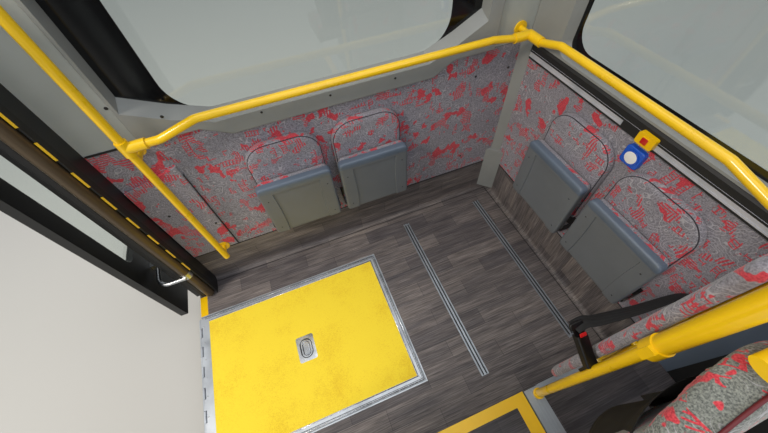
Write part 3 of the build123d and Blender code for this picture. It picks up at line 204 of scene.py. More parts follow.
def moquette(name, grey, pale, speckle_mm, cell_mm, cover):
    # Wool moquette, woven in heathered grey with loose red shapes: some full, some hatched
    # across or down, some drawn as ladders, with fine pale scribbles between. A soft pile that
    # scatters light at a grazing angle.
    made, tree, shader, place = begin(name, grey, 0.9, Sheen_Weight=0.2, Sheen_Roughness=0.5,
                                      IOR=1.45)
    drift = add(tree, "TexNoise", {"Vector": place, "Scale": 9.0, "Detail": 1.0})
    bent = add(tree, "VectorMath", [drift.outputs["Color"], (0.03, 0.03, 0.03)],
               operation="MULTIPLY")
    bent = add(tree, "VectorMath", [place, bent], operation="ADD")
    split = add(tree, "SeparateXYZ", [bent]).outputs
    along = add(tree, "Math", [split[0], split[1]], operation="ADD")
    up = split[2]
    # Cells of one kind of drawing each, and in them the blots that are filled or hatched
    cells = add(tree, "TexVoronoi", {"Vector": bent, "Scale": 1000 / cell_mm})
    kind = add(tree, "SeparateColor", [cells.outputs["Color"]]).outputs
    shapes = add(tree, "TexNoise", {"Vector": bent, "Scale": 1250 / cell_mm, "Detail": 2.0,
                                    "Roughness": 0.55})
    blot = add(tree, "MapRange", [shapes, 0.62 - cover, 0.635 - cover, 0.0, 1.0])
    full = add(tree, "Math", [kind[0], 0.34], operation="LESS_THAN")
    choose = add(tree, "Math", [kind[0], 0.68], operation="LESS_THAN")
    hatch = add(tree, "Mix", {0: choose, 2: stripes(tree, along, 12.0, 0.55),
                              3: stripes(tree, up, 10.5, 0.55)})
    fill = add(tree, "Math", [full, hatch], operation="MAXIMUM")
    filled = add(tree, "Math", [blot, fill], operation="MULTIPLY")
    # Ladders, standing in one fifth of the cells and lying in another
    few = add(tree, "Math", [kind[1], 0.2], operation="LESS_THAN")
    most = add(tree, "Math", [kind[1], 0.8], operation="GREATER_THAN")
    upright = add(tree, "Math", [few, ladder(tree, along, up, 58.0, 13.0)], operation="MULTIPLY")
    lying = add(tree, "Math", [most, ladder(tree, up, along, 64.0, 15.0)], operation="MULTIPLY")
    drawn = add(tree, "Math", [upright, lying], operation="MAXIMUM")
    patch = add(tree, "TexNoise", {"Vector": place, "Scale": 2100 / cell_mm, "Detail": 1.0})
    open_part = add(tree, "MapRange", [patch, 0.47, 0.49, 0.0, 1.0])
    drawn = add(tree, "Math", [drawn, open_part], operation="MULTIPLY")
    red = add(tree, "Math", [filled, drawn], operation="MAXIMUM")
    # Pale scribbles: level lines of a slow pattern, 1.5 mm wide
    slow = add(tree, "TexNoise", {"Vector": place, "Scale": 11.0, "Detail": 1.5})
    turn = add(tree, "Math", [slow, 15.0], operation="MULTIPLY")
    turn = add(tree, "Math", [turn], operation="FRACT")
    off = add(tree, "Math", [turn, 0.5], operation="SUBTRACT")
    off = add(tree, "Math", [off], operation="ABSOLUTE")
    thin = add(tree, "MapRange", [off, 0.04, 0.10, 1.0, 0.0])
    zone = add(tree, "TexNoise", {"Vector": place, "Scale": 7.0, "Detail": 1.0})
    shown = add(tree, "MapRange", [zone, 0.44, 0.52, 0.0, 0.75])
    scribble = add(tree, "Math", [thin, shown], operation="MULTIPLY")
    # Heathered yarn, coarser than the real 1 mm pile so that it shows
    yarn = add(tree, "TexNoise", {"Vector": place, "Scale": 1000 / speckle_mm / 2, "Detail": 2.0})
    ground = add(tree, "ValToRGB", [yarn], ((0.3, grey), (0.72, pale)))
    lined = add(tree, "Mix", {0: scribble, 6: ground, 7: linear("#B4B2B8")}, data_type="RGBA")
    reds = add(tree, "ValToRGB", [yarn], ((0.3, "#A81E30"), (0.7, "#DB3A48")))
    worn = add(tree, "Math", [red, 0.9], operation="MULTIPLY")
    final = add(tree, "Mix", {0: worn, 6: lined.outputs[2], 7: reds}, data_type="RGBA")
    pattern(tree, shader, final.outputs[2], relief=(yarn, 0.6, 0.6))
    return made


def coated(name, colour, roughness, grain_mm, depth_mm, ior=1.5, mottle=1.0, **more):
    # Powder coat, paint or moulded plastic: an even colour with a fine relief from the oven or
    # the tool, and a gloss that varies a little with wear.
    made, tree, shader, place = begin(name, colour, roughness, IOR=ior, **more)
    skin = add(tree, "TexNoise", {"Vector": place, "Scale": 1000 / grain_mm / 2, "Detail": 2.0})
    wear = add(tree, "TexNoise", {"Vector": place, "Scale": 6.0, "Detail": 4.0, "Roughness": 0.6})
    tint = add(tree, "MapRange", [wear, 0.3, 0.7, 1 - 0.07 * mottle, 1 + 0.05 * mottle])
    toned = add(tree, "Mix", {0: 1.0, 6: linear(colour), 7: tint}, data_type="RGBA",
                blend_type="MULTIPLY")
    pattern(tree, shader, toned.outputs[2],
            (wear, roughness * 0.85, min(1.0, roughness * 1.2)), (skin, depth_mm, 0.5))
    return made


def grit(name, dark, light):
    # Mineral grit rolled into polyurethane: matt, sharp grains of about 1.5 mm, drawn at 3 mm so
    # that they show
    made, tree, shader, place = begin(name, light, 0.85, IOR=1.5)
    grains = add(tree, "TexNoise", {"Vector": place, "Scale": 260.0, "Detail": 3.0})
    soil = add(tree, "TexNoise", {"Vector": place, "Scale": 4.0, "Detail": 5.0,
                                  "Roughness": 0.65})
    mixed = add(tree, "Math", [grains, soil], operation="MULTIPLY")
    tone = add(tree, "ValToRGB", [mixed], ((0.08, dark), (0.24, light)))
    pattern(tree, shader, tone.outputs[0], relief=(grains, 0.8, 0.8))
    return made


def drawn_metal(name, colour, roughness, axis_scale, metallic=1.0):
    # Extruded or drawn metal: fine lines along the piece from the die, under a clear anodic film
    made, tree, shader, place = begin(name, colour, roughness, Metallic=metallic)
    along = add(tree, "Mapping", {"Vector": place, "Scale": axis_scale})
    lines = add(tree, "TexNoise", {"Vector": along, "Scale": 1.0, "Detail": 3.0})
    stain = add(tree, "TexNoise", {"Vector": place, "Scale": 9.0, "Detail": 4.0})
    tone = add(tree, "ValToRGB", [stain], ((0.25, "#9DA3AB"), (0.6, colour)))
    pattern(tree, shader, tone.outputs[0], (lines, roughness * 0.7, roughness * 1.35),
            (lines, 0.05, 0.4))
    return made


def webbing(name):
    # Polyester seat belt webbing, woven in twill: ribs along the strap, a soft shine
    made, tree, shader, place = begin(name, "#09090B", 0.75)
    ribs = add(tree, "TexWave", {"Vector": place, "Scale": 70.0, "Distortion": 0.6},
               wave_type="BANDS", bands_direction="Z").outputs["Fac"]
    tone = add(tree, "ValToRGB", [ribs], ((0.2, "#050506"), (0.8, "#111114")))
    pattern(tree, shader, tone.outputs[0], relief=(ribs, 0.4, 0.6))
    return made


def glazing(name):
    # Toughened float glass, 6 mm, with the faint green of its iron
    made, tree, shader, place = begin(name, "#E9F1EE", 0.02, IOR=1.5, Transmission_Weight=1.0)
    dust = add(tree, "TexNoise", {"Vector": place, "Scale": 3.0, "Detail": 6.0})
    pattern(tree, shader, gloss=(dust, 0.0, 0.06))
    return made


# The finishes: maker, material's name, colour, roughness, then for a coat its grain and depth in
# millimetres and its IOR, and for a metal its lines per metre along each axis and how metallic
# the film on it leaves it
FINISHES = {
    "vinyl": (vinyl_planks, "Vinyl sheet printed with planks", "#969291", "#6C6A6F"),
    # The raised floor's vinyl: the same printed planks, darkened as painted shade on the step
    "step_vinyl_painted_shade": (vinyl_planks, "Dark vinyl sheet printed with planks", "#5E5C60", "#414046"),
    "moquette": (moquette, "Wool moquette in grey and red", "cloth", "#9C9AA2", 2.6, 88.0, 0.045),
    "first_cloth": (moquette, "Wool moquette with grey speckle", "#4A4D4B", "#8E928A", 2.0, 84.0,
                    0.06),
    "yellow": (coated, "Yellow powder coat on steel tube", "rails", 0.28, 6.0, 0.05,
               {"Coat_Weight": 0.4, "Coat_Roughness": 0.12}),
    "yellow_plastic": (coated, "Moulded yellow polyamide", "#F5C400", 0.35, 1.5, 0.05, 1.53),
    "yellow_nosing": (coated, "Yellow ribbed vinyl nosing", "#F0BE12", 0.4, 2.0, 0.1, 1.52),
    "grit": (grit, "Yellow grit in polyurethane", "#E4B81C", "ramp"),
    "edge_alu": (drawn_metal, "Anodised aluminium frame", "#C3CAD2", 0.4, (90.0, 90.0, 90.0), 0.5),
    "edge_alu_y": (drawn_metal, "Anodised aluminium along the bus", "#A9B1B9", 0.42,
                   (900.0, 8.0, 900.0), 0.7),
    "side_alu": (drawn_metal, "Brushed aluminium strip", "#BFC1C8", 0.55, (900.0, 6.0, 900.0), 0.1),
    "bright_alu": (drawn_metal, "Polished aluminium edge", "#DFE4EA", 0.25, (60.0, 60.0, 60.0),
                   0.8),
    "steel": (drawn_metal, "Stainless steel arm", "#C9CCCE", 0.28, (300.0, 300.0, 300.0)),
    "zinc": (drawn_metal, "Zinc plated steel", "#B9BDC0", 0.4, (300.0, 300.0, 300.0)),
    "chrome": (drawn_metal, "Polished chrome plate", "#E8EAED", 0.12, (60.0, 60.0, 60.0)),
    "bronze": (coated, "Bronze anodised column", "#5E5140", 0.38, 4.0, 0.03, {"Metallic": 0.6}),
    "cover": (coated, "Grained grey ABS cover", "covers", 0.5, 1.6, 0.12, 1.54),
    "trim": (coated, "Grained grey ABS trim", "#8B8E8C", 0.5, 1.6, 0.12, 1.54),
    "shell": (coated, "Moulded grey ABS shell", "#666B70", 0.45, 1.4, 0.1, 1.54),
    "lip": (coated, "Moulded blue grey ABS lip", "#5B6878", 0.4, 1.4, 0.08, 1.54),
    "rubber": (coated, "Extruded EPDM rubber", "#151618", 0.62, 3.0, 0.1, 1.52),
    "black": (coated, "Black powder coat", "#131416", 0.4, 3.0, 0.06),
    "black_plastic": (coated, "Moulded black polyamide", "#0E0E10", 0.33, 2.0, 0.05, 1.53),
    "back_shell": (coated, "Grained black ABS shell", "#0C0C0E", 0.75, 1.6, 0.12),
    "underbody": (coated, "Black wax coated steel", "#1D1D1F", 0.55, 5.0, 0.4),
    "body": (coated, "White body enamel", "#DADAD6", 0.2, 8.0, 0.03,
             {"mottle": 0.25, "Coat_Weight": 0.5}),
    "frit": (coated, "Black ceramic enamel on glass", "#0B0C0E", 0.12, 5.0, 0.01),
    "blue": (coated, "Moulded blue polycarbonate", "#1657C8", 0.25, 3.0, 0.03, 1.58),
    "white_plastic": (coated, "Moulded white polycarbonate", "#F2F2EE", 0.28, 3.0, 0.03, 1.58),
    "red_plastic": (coated, "Moulded red polycarbonate", "#C21A1C", 0.28, 3.0, 0.03, 1.58),
    "piping": (coated, "Woven grey piping", "#77737D", 0.8, 2.0, 0.3),
    # Piping of the tip-up seats' backs: a real piping, drawn darker than the cloth as painted shade
    # along the seam
    "dark_piping": (coated, "Woven dark piping", "#35333A", 0.8, 2.0, 0.3),
    "red_piping": (coated, "Dark red welt cord", "#5E0E18", 0.5, 2.0, 0.3),
    "webbing": (webbing, "Woven polyester webbing"),
    "glass": (glazing, "Toughened float glass"),
}
made_materials = {}


def material(key):
    """The material of a finish, made when it is first asked for."""
    if key not in made_materials:
        maker, *values = FINISHES[key]
        more = values.pop() if isinstance(values[-1], dict) else {}
        made_materials[key] = maker(*values, **more)
    return made_materials[key]


def dress(key, *nodes):
    """Gives carried-over CAD pieces their finish."""
    for node in nodes:
        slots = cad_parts[node].data.materials
        slots.clear()
        slots.append(material(key))


# Mesh tools
def to_data(mesh, name):
    """Turns a working mesh into mesh data, its faces looking outwards."""
    bmesh.ops.recalc_face_normals(mesh, faces=mesh.faces)
    data = bpy.data.meshes.new(name)
    mesh.to_mesh(data)
    mesh.free()
    return data


def place_piece(mesh, name, key, body, smooth=True):
    """Links a mesh as a piece that rides on a body, in one finish."""
    data = to_data(mesh, name) if isinstance(mesh, bmesh.types.BMesh) else mesh
    for face in data.polygons:
        face.use_smooth = smooth
    piece = bpy.data.objects.new(name, data)
    bpy.context.scene.collection.objects.link(piece)
    data.materials.append(material(key))
    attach(piece, body)
    return piece


def place_pad(data, name, key, body, node):
    """Places a stuffed pad that stands for a plain solid of the frame."""
    piece = place_piece(data, name, key, body)
    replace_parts(piece, node)


def rounded(width, height, radius, steps=8, low_radius=None):
    """Points of a rectangle with round corners about the origin, anticlockwise from lower right."""
    low = radius if low_radius is None else low_radius
    points = []
    for sx, sy, r, start in ((1, -1, low, 270), (1, 1, radius, 0), (-1, 1, radius, 90),
                             (-1, -1, low, 180)):
        cx = sx * (width / 2 - r)
        cy = sy * (height / 2 - r)
        for step in range(steps + 1):
            angle = math.radians(start + 90 * step / steps)
            points.append((cx + r * math.cos(angle), cy + r * math.sin(angle)))
    return points


def rings(mesh, loops, matrix=FLAT, closed=False):
    """Skins a row of equal loops of points, capped at its ends or closed on itself."""
    made = [[mesh.verts.new(matrix @ Vector(p)) for p in loop] for loop in loops]
    ahead = made[1:] + made[:1] if closed else made[1:]
    for one, two in zip(made, ahead):
        for i in range(len(one)):
            j = (i + 1) % len(one)
            mesh.faces.new((one[i], one[j], two[j], two[i]))
    if not closed:
        mesh.faces.new(list(reversed(made[0])))
        mesh.faces.new(made[-1])


def frame_ring(mesh, outer, inner, low, high, matrix):
    """A flat ring between two outlines of as many points."""
    rings(mesh, [[(x, y, z) for x, y in outline] for outline, z in
                 ((outer, low), (outer, high), (inner, high), (inner, low))], matrix, True)


def inset(points, amount):
    """Moves a loop of points inwards along the bisectors of its corners."""
    count = len(points)
    out = []
    for i in range(count):
        before, here, after = (Vector(points[k % count]) for k in (i - 1, i, i + 1))
        one, two = here - before, after - here
        if one.length < 1e-9:
            one = two
        if two.length < 1e-9:
            two = one
        one, two = one.normalized(), two.normalized()
        normal = Vector((-(one.y + two.y), one.x + two.x))
        if normal.length < 1e-9:
            normal = Vector((-one.y, one.x))
        normal.normalize()
        out.append((here.x + normal.x * amount, here.y + normal.y * amount))
    return out


def slab(mesh, outline, low, high, edge, matrix=FLAT, steps=3):
    """A plate from an outline on a local plane, its upper edge rounded."""
    loops = [[(x, y, low) for x, y in outline]]
    for step in range(steps + 1):
        angle = math.pi / 2 * step / steps
        moved = inset(outline, edge * (1 - math.cos(angle)))
        loops.append([(x, y, high - edge + edge * math.sin(angle)) for x, y in moved])
    rings(mesh, loops, matrix)


def circle(radius, z, sides):
    return [(radius * math.cos(2 * math.pi * k / sides), radius * math.sin(2 * math.pi * k / sides),
             z) for k in range(sides)]


def screws(name, key, body, spots, radius, height, sides, steps):
    """A piece of low domed heads, one on each local plane, in its units."""
    mesh = bmesh.new()
    for matrix in spots:
        loops = [circle(radius, 0.0, sides)]
        for step in range(1, steps + 1):
            angle = math.pi / 2 * step / (steps + 0.6)
            loops.append(circle(radius * math.cos(angle), height * math.sin(angle), sides))
        rings(mesh, loops, matrix)
    place_piece(mesh, name, key, body)


def strips(name, key, body, slot, *planes, smooth=False):
    """A piece of straight strips. Each plane is its matrix and its runs, and each run says where
    it starts and ends, x and y, how wide it is, and between which heights it stands."""
    mesh = bmesh.new()
    for matrix, runs in planes:
        for x0, y0, x1, y1, wide, low, high in runs:
            start, end = Vector((x0, y0, 0)), Vector((x1, y1, 0))
            run = (end - start).normalized()
            side = Vector((-run.y, run.x, 0)) * wide / 2
            outline = [start - side, end - side, end + side, start + side]
            rings(mesh, [[(p.x, p.y, z) for p in outline] for z in (low, high)], matrix)
    place_piece(mesh, name, key, body, smooth)


def bead(mesh, points, radius, upright, closed=True, sides=8):
    """A round bead along points, closed on itself or capped."""
    path = [Vector(p) for p in points]
    count = len(path)
    loops = []
    for i, here in enumerate(path):
        if closed:
            ahead = (path[(i + 1) % count] - path[i - 1]).normalized()
        else:
            ahead = (path[min(i + 1, count - 1)] - path[max(i - 1, 0)]).normalized()
        across = ahead.cross(Vector(upright)).normalized()
        lift = across.cross(ahead)
        loops.append([here + lift * radius * math.cos(2 * math.pi * k / sides)
                      + across * radius * math.sin(2 * math.pi * k / sides) for k in range(sides)])
    rings(mesh, loops, closed=closed)


def ribbon(mesh, path, half, thin, first, last):
    """A flat strap along points; its width leans from upright by angles given for both ends, in
    degrees."""
    points = [Vector(p) for p in path]
    final = len(points) - 1
    loops = []
    for i, here in enumerate(points):
        ahead = (points[min(i + 1, final)] - points[max(i - 1, 0)]).normalized()
        side = ahead.cross(Vector((0, 0, 1))).normalized()
        up = side.cross(ahead)
        part = min(1.0, i / final * 1.15)
        lean = math.radians(first + (last - first) * part ** 2.2)
        across = up * math.cos(lean) + side * math.sin(lean)
        out = ahead.cross(across)
        loops.append([here + across * half * a + out * thin * b for a, b in (
            (-1, -0.4), (-0.96, -1), (0.96, -1), (1, -0.4), (1, 0.4), (0.96, 1), (-0.96, 1),
            (-1, 0.4))])
    rings(mesh, loops)


def smooth_path(points, steps):
    """A soft line through a few points."""
    dense = []
    pts = [Vector(p) for p in points]
    for i in range(len(pts) - 1):
        p0 = pts[max(i - 1, 0)]
        p1, p2 = pts[i], pts[i + 1]
        p3 = pts[min(i + 2, len(pts) - 1)]
        for step in range(steps):
            t = step / steps
            dense.append(0.5 * ((2 * p1) + (p2 - p0) * t
                                + (2 * p0 - 5 * p1 + 4 * p2 - p3) * t * t
                                + (3 * p1 - p0 - 3 * p2 + p3) * t ** 3))
    return dense + [pts[-1]]


def plump(mesh, voxel, cap, floor=None):
    """Swells a closed shape as stuffed cloth and returns its mesh. No place moves further than
    cap, and floor keeps local z above a value."""
    settle = 20
    pad = bpy.data.objects.new("pad", to_data(mesh, "pad"))
    scene = bpy.context.scene
    scene.collection.objects.link(pad)
    coarse = pad.modifiers.new("even", "REMESH")
    coarse.mode = "VOXEL"
    coarse.voxel_size = voxel
    view = bpy.context.evaluated_depsgraph_get()
    even = bpy.data.meshes.new_from_object(pad.evaluated_get(view))
    pad.modifiers.clear()
    pad.data = even
    start = [v.co.copy() for v in even.vertices]
    cloth = pad.modifiers.new("cloth", "CLOTH")
    cloth.settings.use_pressure = True
    cloth.settings.uniform_pressure_force = 4.0
    cloth.settings.effector_weights.gravity = 0.0
    cloth.settings.quality = 5
    cloth.point_cache.frame_start = 1
    cloth.point_cache.frame_end = settle
    for moment in range(1, settle + 1):
        scene.frame_set(moment)
    view = bpy.context.evaluated_depsgraph_get()
    swollen = bpy.data.meshes.new_from_object(pad.evaluated_get(view))
    for vertex, old, new in zip(even.vertices, start, swollen.vertices):
        move = new.co - old
        if move.length > cap:
            move = move * (cap / move.length)
        vertex.co = old + move
    pad.modifiers.clear()
    scene.frame_set(1)
    if floor is not None:
        for vertex in even.vertices:
            vertex.co.z = max(vertex.co.z, floor)
    bpy.data.objects.remove(pad)
    return even


def copy_mesh(data, matrix):
    made = data.copy()
    made.transform(matrix)
    return made


def on_surface(data, points, lift):
    """Drops local points along -Z onto a mesh and lifts them a little."""
    tree = BVHTree.FromPolygons([v.co for v in data.vertices], [p.vertices for p in data.polygons])
    out = []
    for x, y in points:
        spot = tree.ray_cast(Vector((x, y, 1.0)), Vector((0, 0, -1)))[0]
        if spot is not None:
            out.append((x, y, spot.z + lift))
    return out


def sharpen(piece, degrees):
    """Keeps edges steeper than an angle crisp and the rest smooth."""
    work = bmesh.new()
    work.from_mesh(piece.data)
    for edge in work.edges:
        if len(edge.link_faces) == 2:
            edge.smooth = edge.calc_face_angle(0.0) < math.radians(degrees)
    work.to_mesh(piece.data)
    work.free()


# Places
def plane(origin, across, up, out):
    """A local plane: x along the first direction, y along the second, z out of it."""
    made = Matrix.Identity(4)
    for column, vector in enumerate((across, up, out, origin)):
        for row in range(3):
            made[row][column] = vector[row]
    return made


def level(x, y, z):
    """A plane facing up at a place, with local millimetres."""
    return Matrix.Translation((x, y, z)) @ MM


def shift(matrix, x, y, z=0.0):
    return matrix @ Matrix.Translation((x, y, z))


# The linings' faces from the floor up, in metres and in millimetres
REAR = plane((0, LINING_Y, FLOOR), (1, 0, 0), (0, 0, 1), (0, -1, 0))
SIDE = plane((LINING_X, 0, FLOOR), (0, -1, 0), (0, 0, 1), (-1, 0, 0))
REAR_MM, SIDE_MM = REAR @ MM, SIDE @ MM


def rear_out(node):
    """How far a piece stands out of the rear lining, in millimetres."""
    return (LINING_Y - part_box(node)[0].y) * 1000


def side_out(node):
    """How far a piece stands out of the side lining, in millimetres."""
    return (LINING_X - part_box(node)[0].x) * 1000


def side_middle(node):
    """A piece's middle on the side lining's plane, in millimetres."""
    low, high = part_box(node)
    return -(low.y + high.y) * 500, (low.z + high.z - 2 * FLOOR) * 500


def seat_matrix(name):
    """Local plane of a tip-up seat in metres: x along the wall from its middle, y up."""
    low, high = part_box(name + "_back")
    if name.startswith("rear"):
        return shift(REAR, (low.x + high.x) / 2, 0)
    return shift(SIDE, -(low.y + high.y) / 2, 0)


# Settings a user would change
class BaySizes(bpy.types.PropertyGroup):
    swell: FloatProperty(name="Swell", description="How far padding may swell", default=0.006,
                         min=0.0, max=0.02, unit="LENGTH")
    bead: FloatProperty(name="Seam bead", description="Radius of the seam beads on the seats",
                        default=0.0024, min=0.001, max=0.006, unit="LENGTH")
    screw: FloatProperty(name="Screw head", description="Radius of the small screw heads",
                         default=0.0042, min=0.002, max=0.01, unit="LENGTH")
    frit: FloatProperty(name="Glass border", description="Width of the black border on the glass",
                        default=0.045, min=0.0, max=0.12, unit="LENGTH")
    key: FloatProperty(name="Key light", description="Strength of the main light", default=130.0,
                       min=0.0, max=2000.0, unit="POWER")


class BayColours(bpy.types.PropertyGroup):
    rails: FloatVectorProperty(name="Rails", description="Powder coat of the handrails",
                               subtype="COLOR", size=4, min=0.0, max=1.0,
                               default=linear("#F2C50E"))
    ramp: FloatVectorProperty(name="Ramp", description="Grit surface of the ramp",
                              subtype="COLOR", size=4, min=0.0, max=1.0,
                              default=linear("#FFE135"))
    cloth: FloatVectorProperty(name="Cloth", description="Ground colour of the moquette",
                               subtype="COLOR", size=4, min=0.0, max=1.0,
                               default=linear("#696770"))
    covers: FloatVectorProperty(name="Covers", description="Plastic covers over the rear lining",
                                subtype="COLOR", size=4, min=0.0, max=1.0,
                                default=linear("#A3A8A4"))
    ground: FloatVectorProperty(name="Ground", description="Studio floor", subtype="COLOR",
                                size=4, min=0.0, max=1.0, default=linear("#C9C8C3"))


class BAY_OT_floor(bpy.types.Operator):
    """Finishes the floor, the raised floor, their edges and rails"""
    bl_idname = "bay.floor"
    bl_label = "Floor and step"

    def execute(self, context):
        dress("vinyl", "floor_deck", "skirting")
        # The raised floor takes the vinyl darkened as painted shade
        dress("step_vinyl_painted_shade", "raised_deck")
        dress("underbody", "underframe", "step_frame")
        dress("yellow_plastic", "threshold_strips")
        dress("yellow_nosing", "step_nosing")
        dress("edge_alu_y", "seat_row_edge", "floor_rails")
        # Each strap rail has two dark channels and a row of countersunk screws
        low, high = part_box("floor_rails")
        from_end, count = 0.08, 7
        runs, spots = [], []
        for x in (low.x + RAIL_HALF, high.x - RAIL_HALF):
            for off in (-CHANNEL_OFF, CHANNEL_OFF):
                runs.append((x * 1000 + off, low.y * 1000 + CHANNEL_END, x * 1000 + off,
                             high.y * 1000 - CHANNEL_END, 6.5, -0.2, 0.2))
            for k in range(count):
                run = high.y - low.y - 2 * from_end
                spots.append(level(x, low.y + from_end + k * run / (count - 1), high.z - 0.0015))
        strips("rail_channels", "rubber", "bay", "black_rubber", (level(0, 0, high.z), runs))
        screws("rail_screws", "zinc", "bay", spots, 3.6, 0.9, 10, 2)
        # Black weld lines at the top of the turned-up vinyl and at the foot of its cove
        low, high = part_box("skirting")
        left, front, top = low.x * 1000, low.y * 1000, (high.z - FLOOR) * 1000
        right, rear = LINING_X * 1000, LINING_Y * 1000
        foot_x, foot_y = right - COVE_FOOT, rear - COVE_FOOT
        edge, weld = (7, 0, 1.6), (4, 0, 0.5)
        strips("skirting_line", "rubber", "bay", "black_rubber",
               (REAR_MM, [(left, top, right, top, *edge)]),
               (SIDE_MM, [(-rear, top, -front, top, *edge)]),
               (level(0, 0, FLOOR), [(left, foot_y, foot_x, foot_y, *weld),
                                     (foot_x, foot_y, foot_x, front, *weld)]))
        return {"FINISHED"}


class BAY_OT_ramp(bpy.types.Operator):
    """Finishes the fold-out ramp, its edge profile, hinge and grip"""
    bl_idname = "bay.ramp"
    bl_label = "Ramp"

    def execute(self, context):
        dress("edge_alu", "ramp_tray", "ramp_edge")
        dress("grit", "ramp_board")
        dress("chrome", "ramp_handle")
        low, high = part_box("ramp_edge")
        z = high.z
        x0, x1, y0, y1 = low.x * 1000, high.x * 1000, low.y * 1000, high.y * 1000
        low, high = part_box("ramp_board")
        bx0, bx1, by0, by1 = low.x * 1000, high.x * 1000, low.y * 1000, high.y * 1000
        top = level(0, 0, z)

        def around(left, low, right, high, *section):
            """Runs on three sides, all but the hinge's."""
            return [(left, low, right, low, *section), (left, high, right, high, *section),
                    (right, low, right, high, *section)]

        # Dark groove of the edge profile, the bead that holds the board, and the bright rim
        strips("ramp_groove", "rubber", "ramp", "black_rubber", (
            top, around(x0 + HINGE_LEAF, y0 + GROOVE, x1 - GROOVE, y1 - GROOVE, 3, 0, 0.25)))
        strips("ramp_bead", "bright_alu", "ramp", "aluminium", (
            top, around(bx0, by0 - BEAD_OFF, bx1 + BEAD_OFF, by1 + BEAD_OFF, 5, 0, 0.8)),
            smooth=True)
        strips("ramp_rim", "bright_alu", "ramp", "aluminium", (
            top, around(x0 + HINGE_LEAF, y0 + RIM, x1 - RIM, y1 - RIM, 5, 0, 0.6)), smooth=True)
        # Flush grip: dark gaps round the pull ring and inside it
        low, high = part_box("ramp_handle")
        wide, long = (high.x - low.x) * 1000, (high.y - low.y) * 1000
        gap = bmesh.new()
        for ring in (((0.68, 0.76, 0.33), (0.61, 0.71, 0.295)),
                     ((0.42, 0.58, 0.2), (0.37, 0.545, 0.175))):
            outer, inner = (rounded(wide * a, long * b, wide * r, 10) for a, b, r in ring)
            frame_ring(gap, outer, inner, 0.0, 0.35,
                       level((low.x + high.x) / 2, (low.y + high.y) / 2, high.z))
        place_piece(gap, "grip_gap", "black", "ramp", False)
        # Mitre lines at the profile's corners, and the rivets of its hinge leaf
        strips("ramp_mitres", "black", "ramp", "black_rubber", (top, [
            (x1 - 1, y0 + 1, bx1 + 1, by0 - 1, 1.2, 0, 0.3),
            (x1 - 1, y1 - 1, bx1 + 1, by1 + 1, 1.2, 0, 0.3)]))
        in_leaf, from_end, count = 30, 60, 8
        run = y1 - y0 - 2 * from_end
        spots = [level((x0 + in_leaf) / 1000, (y0 + from_end + k * run / (count - 1)) / 1000, z)
                 for k in range(count)]
        screws("ramp_rivets", "zinc", "ramp", spots, 4.5, 1.2, 12, 3)
        return {"FINISHED"}


class BAY_OT_walls(bpy.types.Operator):
    """Finishes the walls, their linings, covers and trims"""
    bl_idname = "bay.walls"
    bl_label = "Walls and linings"

    def execute(self, context):
        dress("body", "rear_wall", "side_wall")
        dress("moquette", "rear_lining", "rear_box_panel", "side_lining")
        dress("cover", "rear_covers")
        dress("trim", "corner_trim")
        dress("side_alu", "side_strip")
        dress("rubber", "side_seal")
        # Black borders of the aluminium strip, and its blank plug by the call buttons
        low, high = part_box("side_strip")
        face, middle = side_out("side_strip"), side_middle("side_strip")[1]
        runs = [(-high.y * 1000, height, -low.y * 1000, height, 8, face, face + 0.8) for height in
                ((low.z - FLOOR) * 1000 + 4, (high.z - FLOOR) * 1000 - 4)]
        plug_start, plug_end = -699, -618
        runs.append((plug_start, middle, plug_end, middle, (high.z - low.z) * 1000 - 8, face,
                     face + 1.2))
        strips("side_strip_borders", "rubber", "bay", "black_rubber", (SIDE_MM, runs))
        # Near-black panel beside the first seat, a dark sheet as painted shade at the foot of the
        # side wall, with its paler edge
        tall = 2 * (SHADE_PANEL_MIDDLE - (STEP - FLOOR) * 1000 - 4)
        front = -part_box("side_lining")[0].y * 1000 - 3
        for name, key, slot, start, end in (
                ("side_heater_edge", "lip", "seat_plastic", 96, 172),
                ("side_heater_panel", "back_shell", "black_plastic", 172, front)):
            strips(name, key, "bay", slot,
                   (SIDE_MM, [(start, SHADE_PANEL_MIDDLE, end, SHADE_PANEL_MIDDLE, tall, 0, 2.2)]))
        # Studs of the lining, and of the box panel that stands out of it at the left
        box_out = 14
        studs = [shift(REAR_MM, *spot) for spot in (
            (LINING_SEAM, 1001, 0), (1954, 419, 0), (2160, 1001, 0), (286, 819, box_out),
            (365, 544, box_out), (200, 700, box_out))]
        screws("lining_studs", "black_plastic", "bay", studs, 7, 3.2, 16, 4)
        # Seam between the lining's two boards
        skirt_top = (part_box("skirting")[1].z - FLOOR) * 1000
        strips("lining_seam", "piping", "bay", "moquette", (REAR_MM, [
            (LINING_SEAM, skirt_top, LINING_SEAM, 1060, 2.4, 0, 0.6)]))
        # Black edge of the box panel
        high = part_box("rear_box_panel")[1]
        edge = bmesh.new()
        bead(edge, [REAR_MM @ Vector((high.x * 1000 + 1.5, y, 6)) for y in
                    (skirt_top + 4, 500, (high.z - FLOOR) * 1000 - 60)], 0.0035, (0, 1, 0), False)
        place_piece(edge, "box_edge", "rubber", "bay")
        # Black edge strip of the rear lining's top, at the left
        trim_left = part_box("rear_window_trim")[0].x * 1000
        strips("lining_top_edge", "rubber", "bay", "black_rubber", (REAR_MM, [
            (122, LINING_TOP, trim_left - 2, LINING_TOP, 9, 0, 3)]))
        # One cap sits on the cover and one on the window trim
        caps = [shift(REAR_MM, x, y, rear_out("rear_window_trim" if x > trim_left + 20
                                              else "rear_covers"))
                for x, y in ((322, 1311), (478, 1236))]
        screws("cover_caps", "black_plastic", "bay", caps, 7, 2.5, 16, 3)
        return {"FINISHED"}


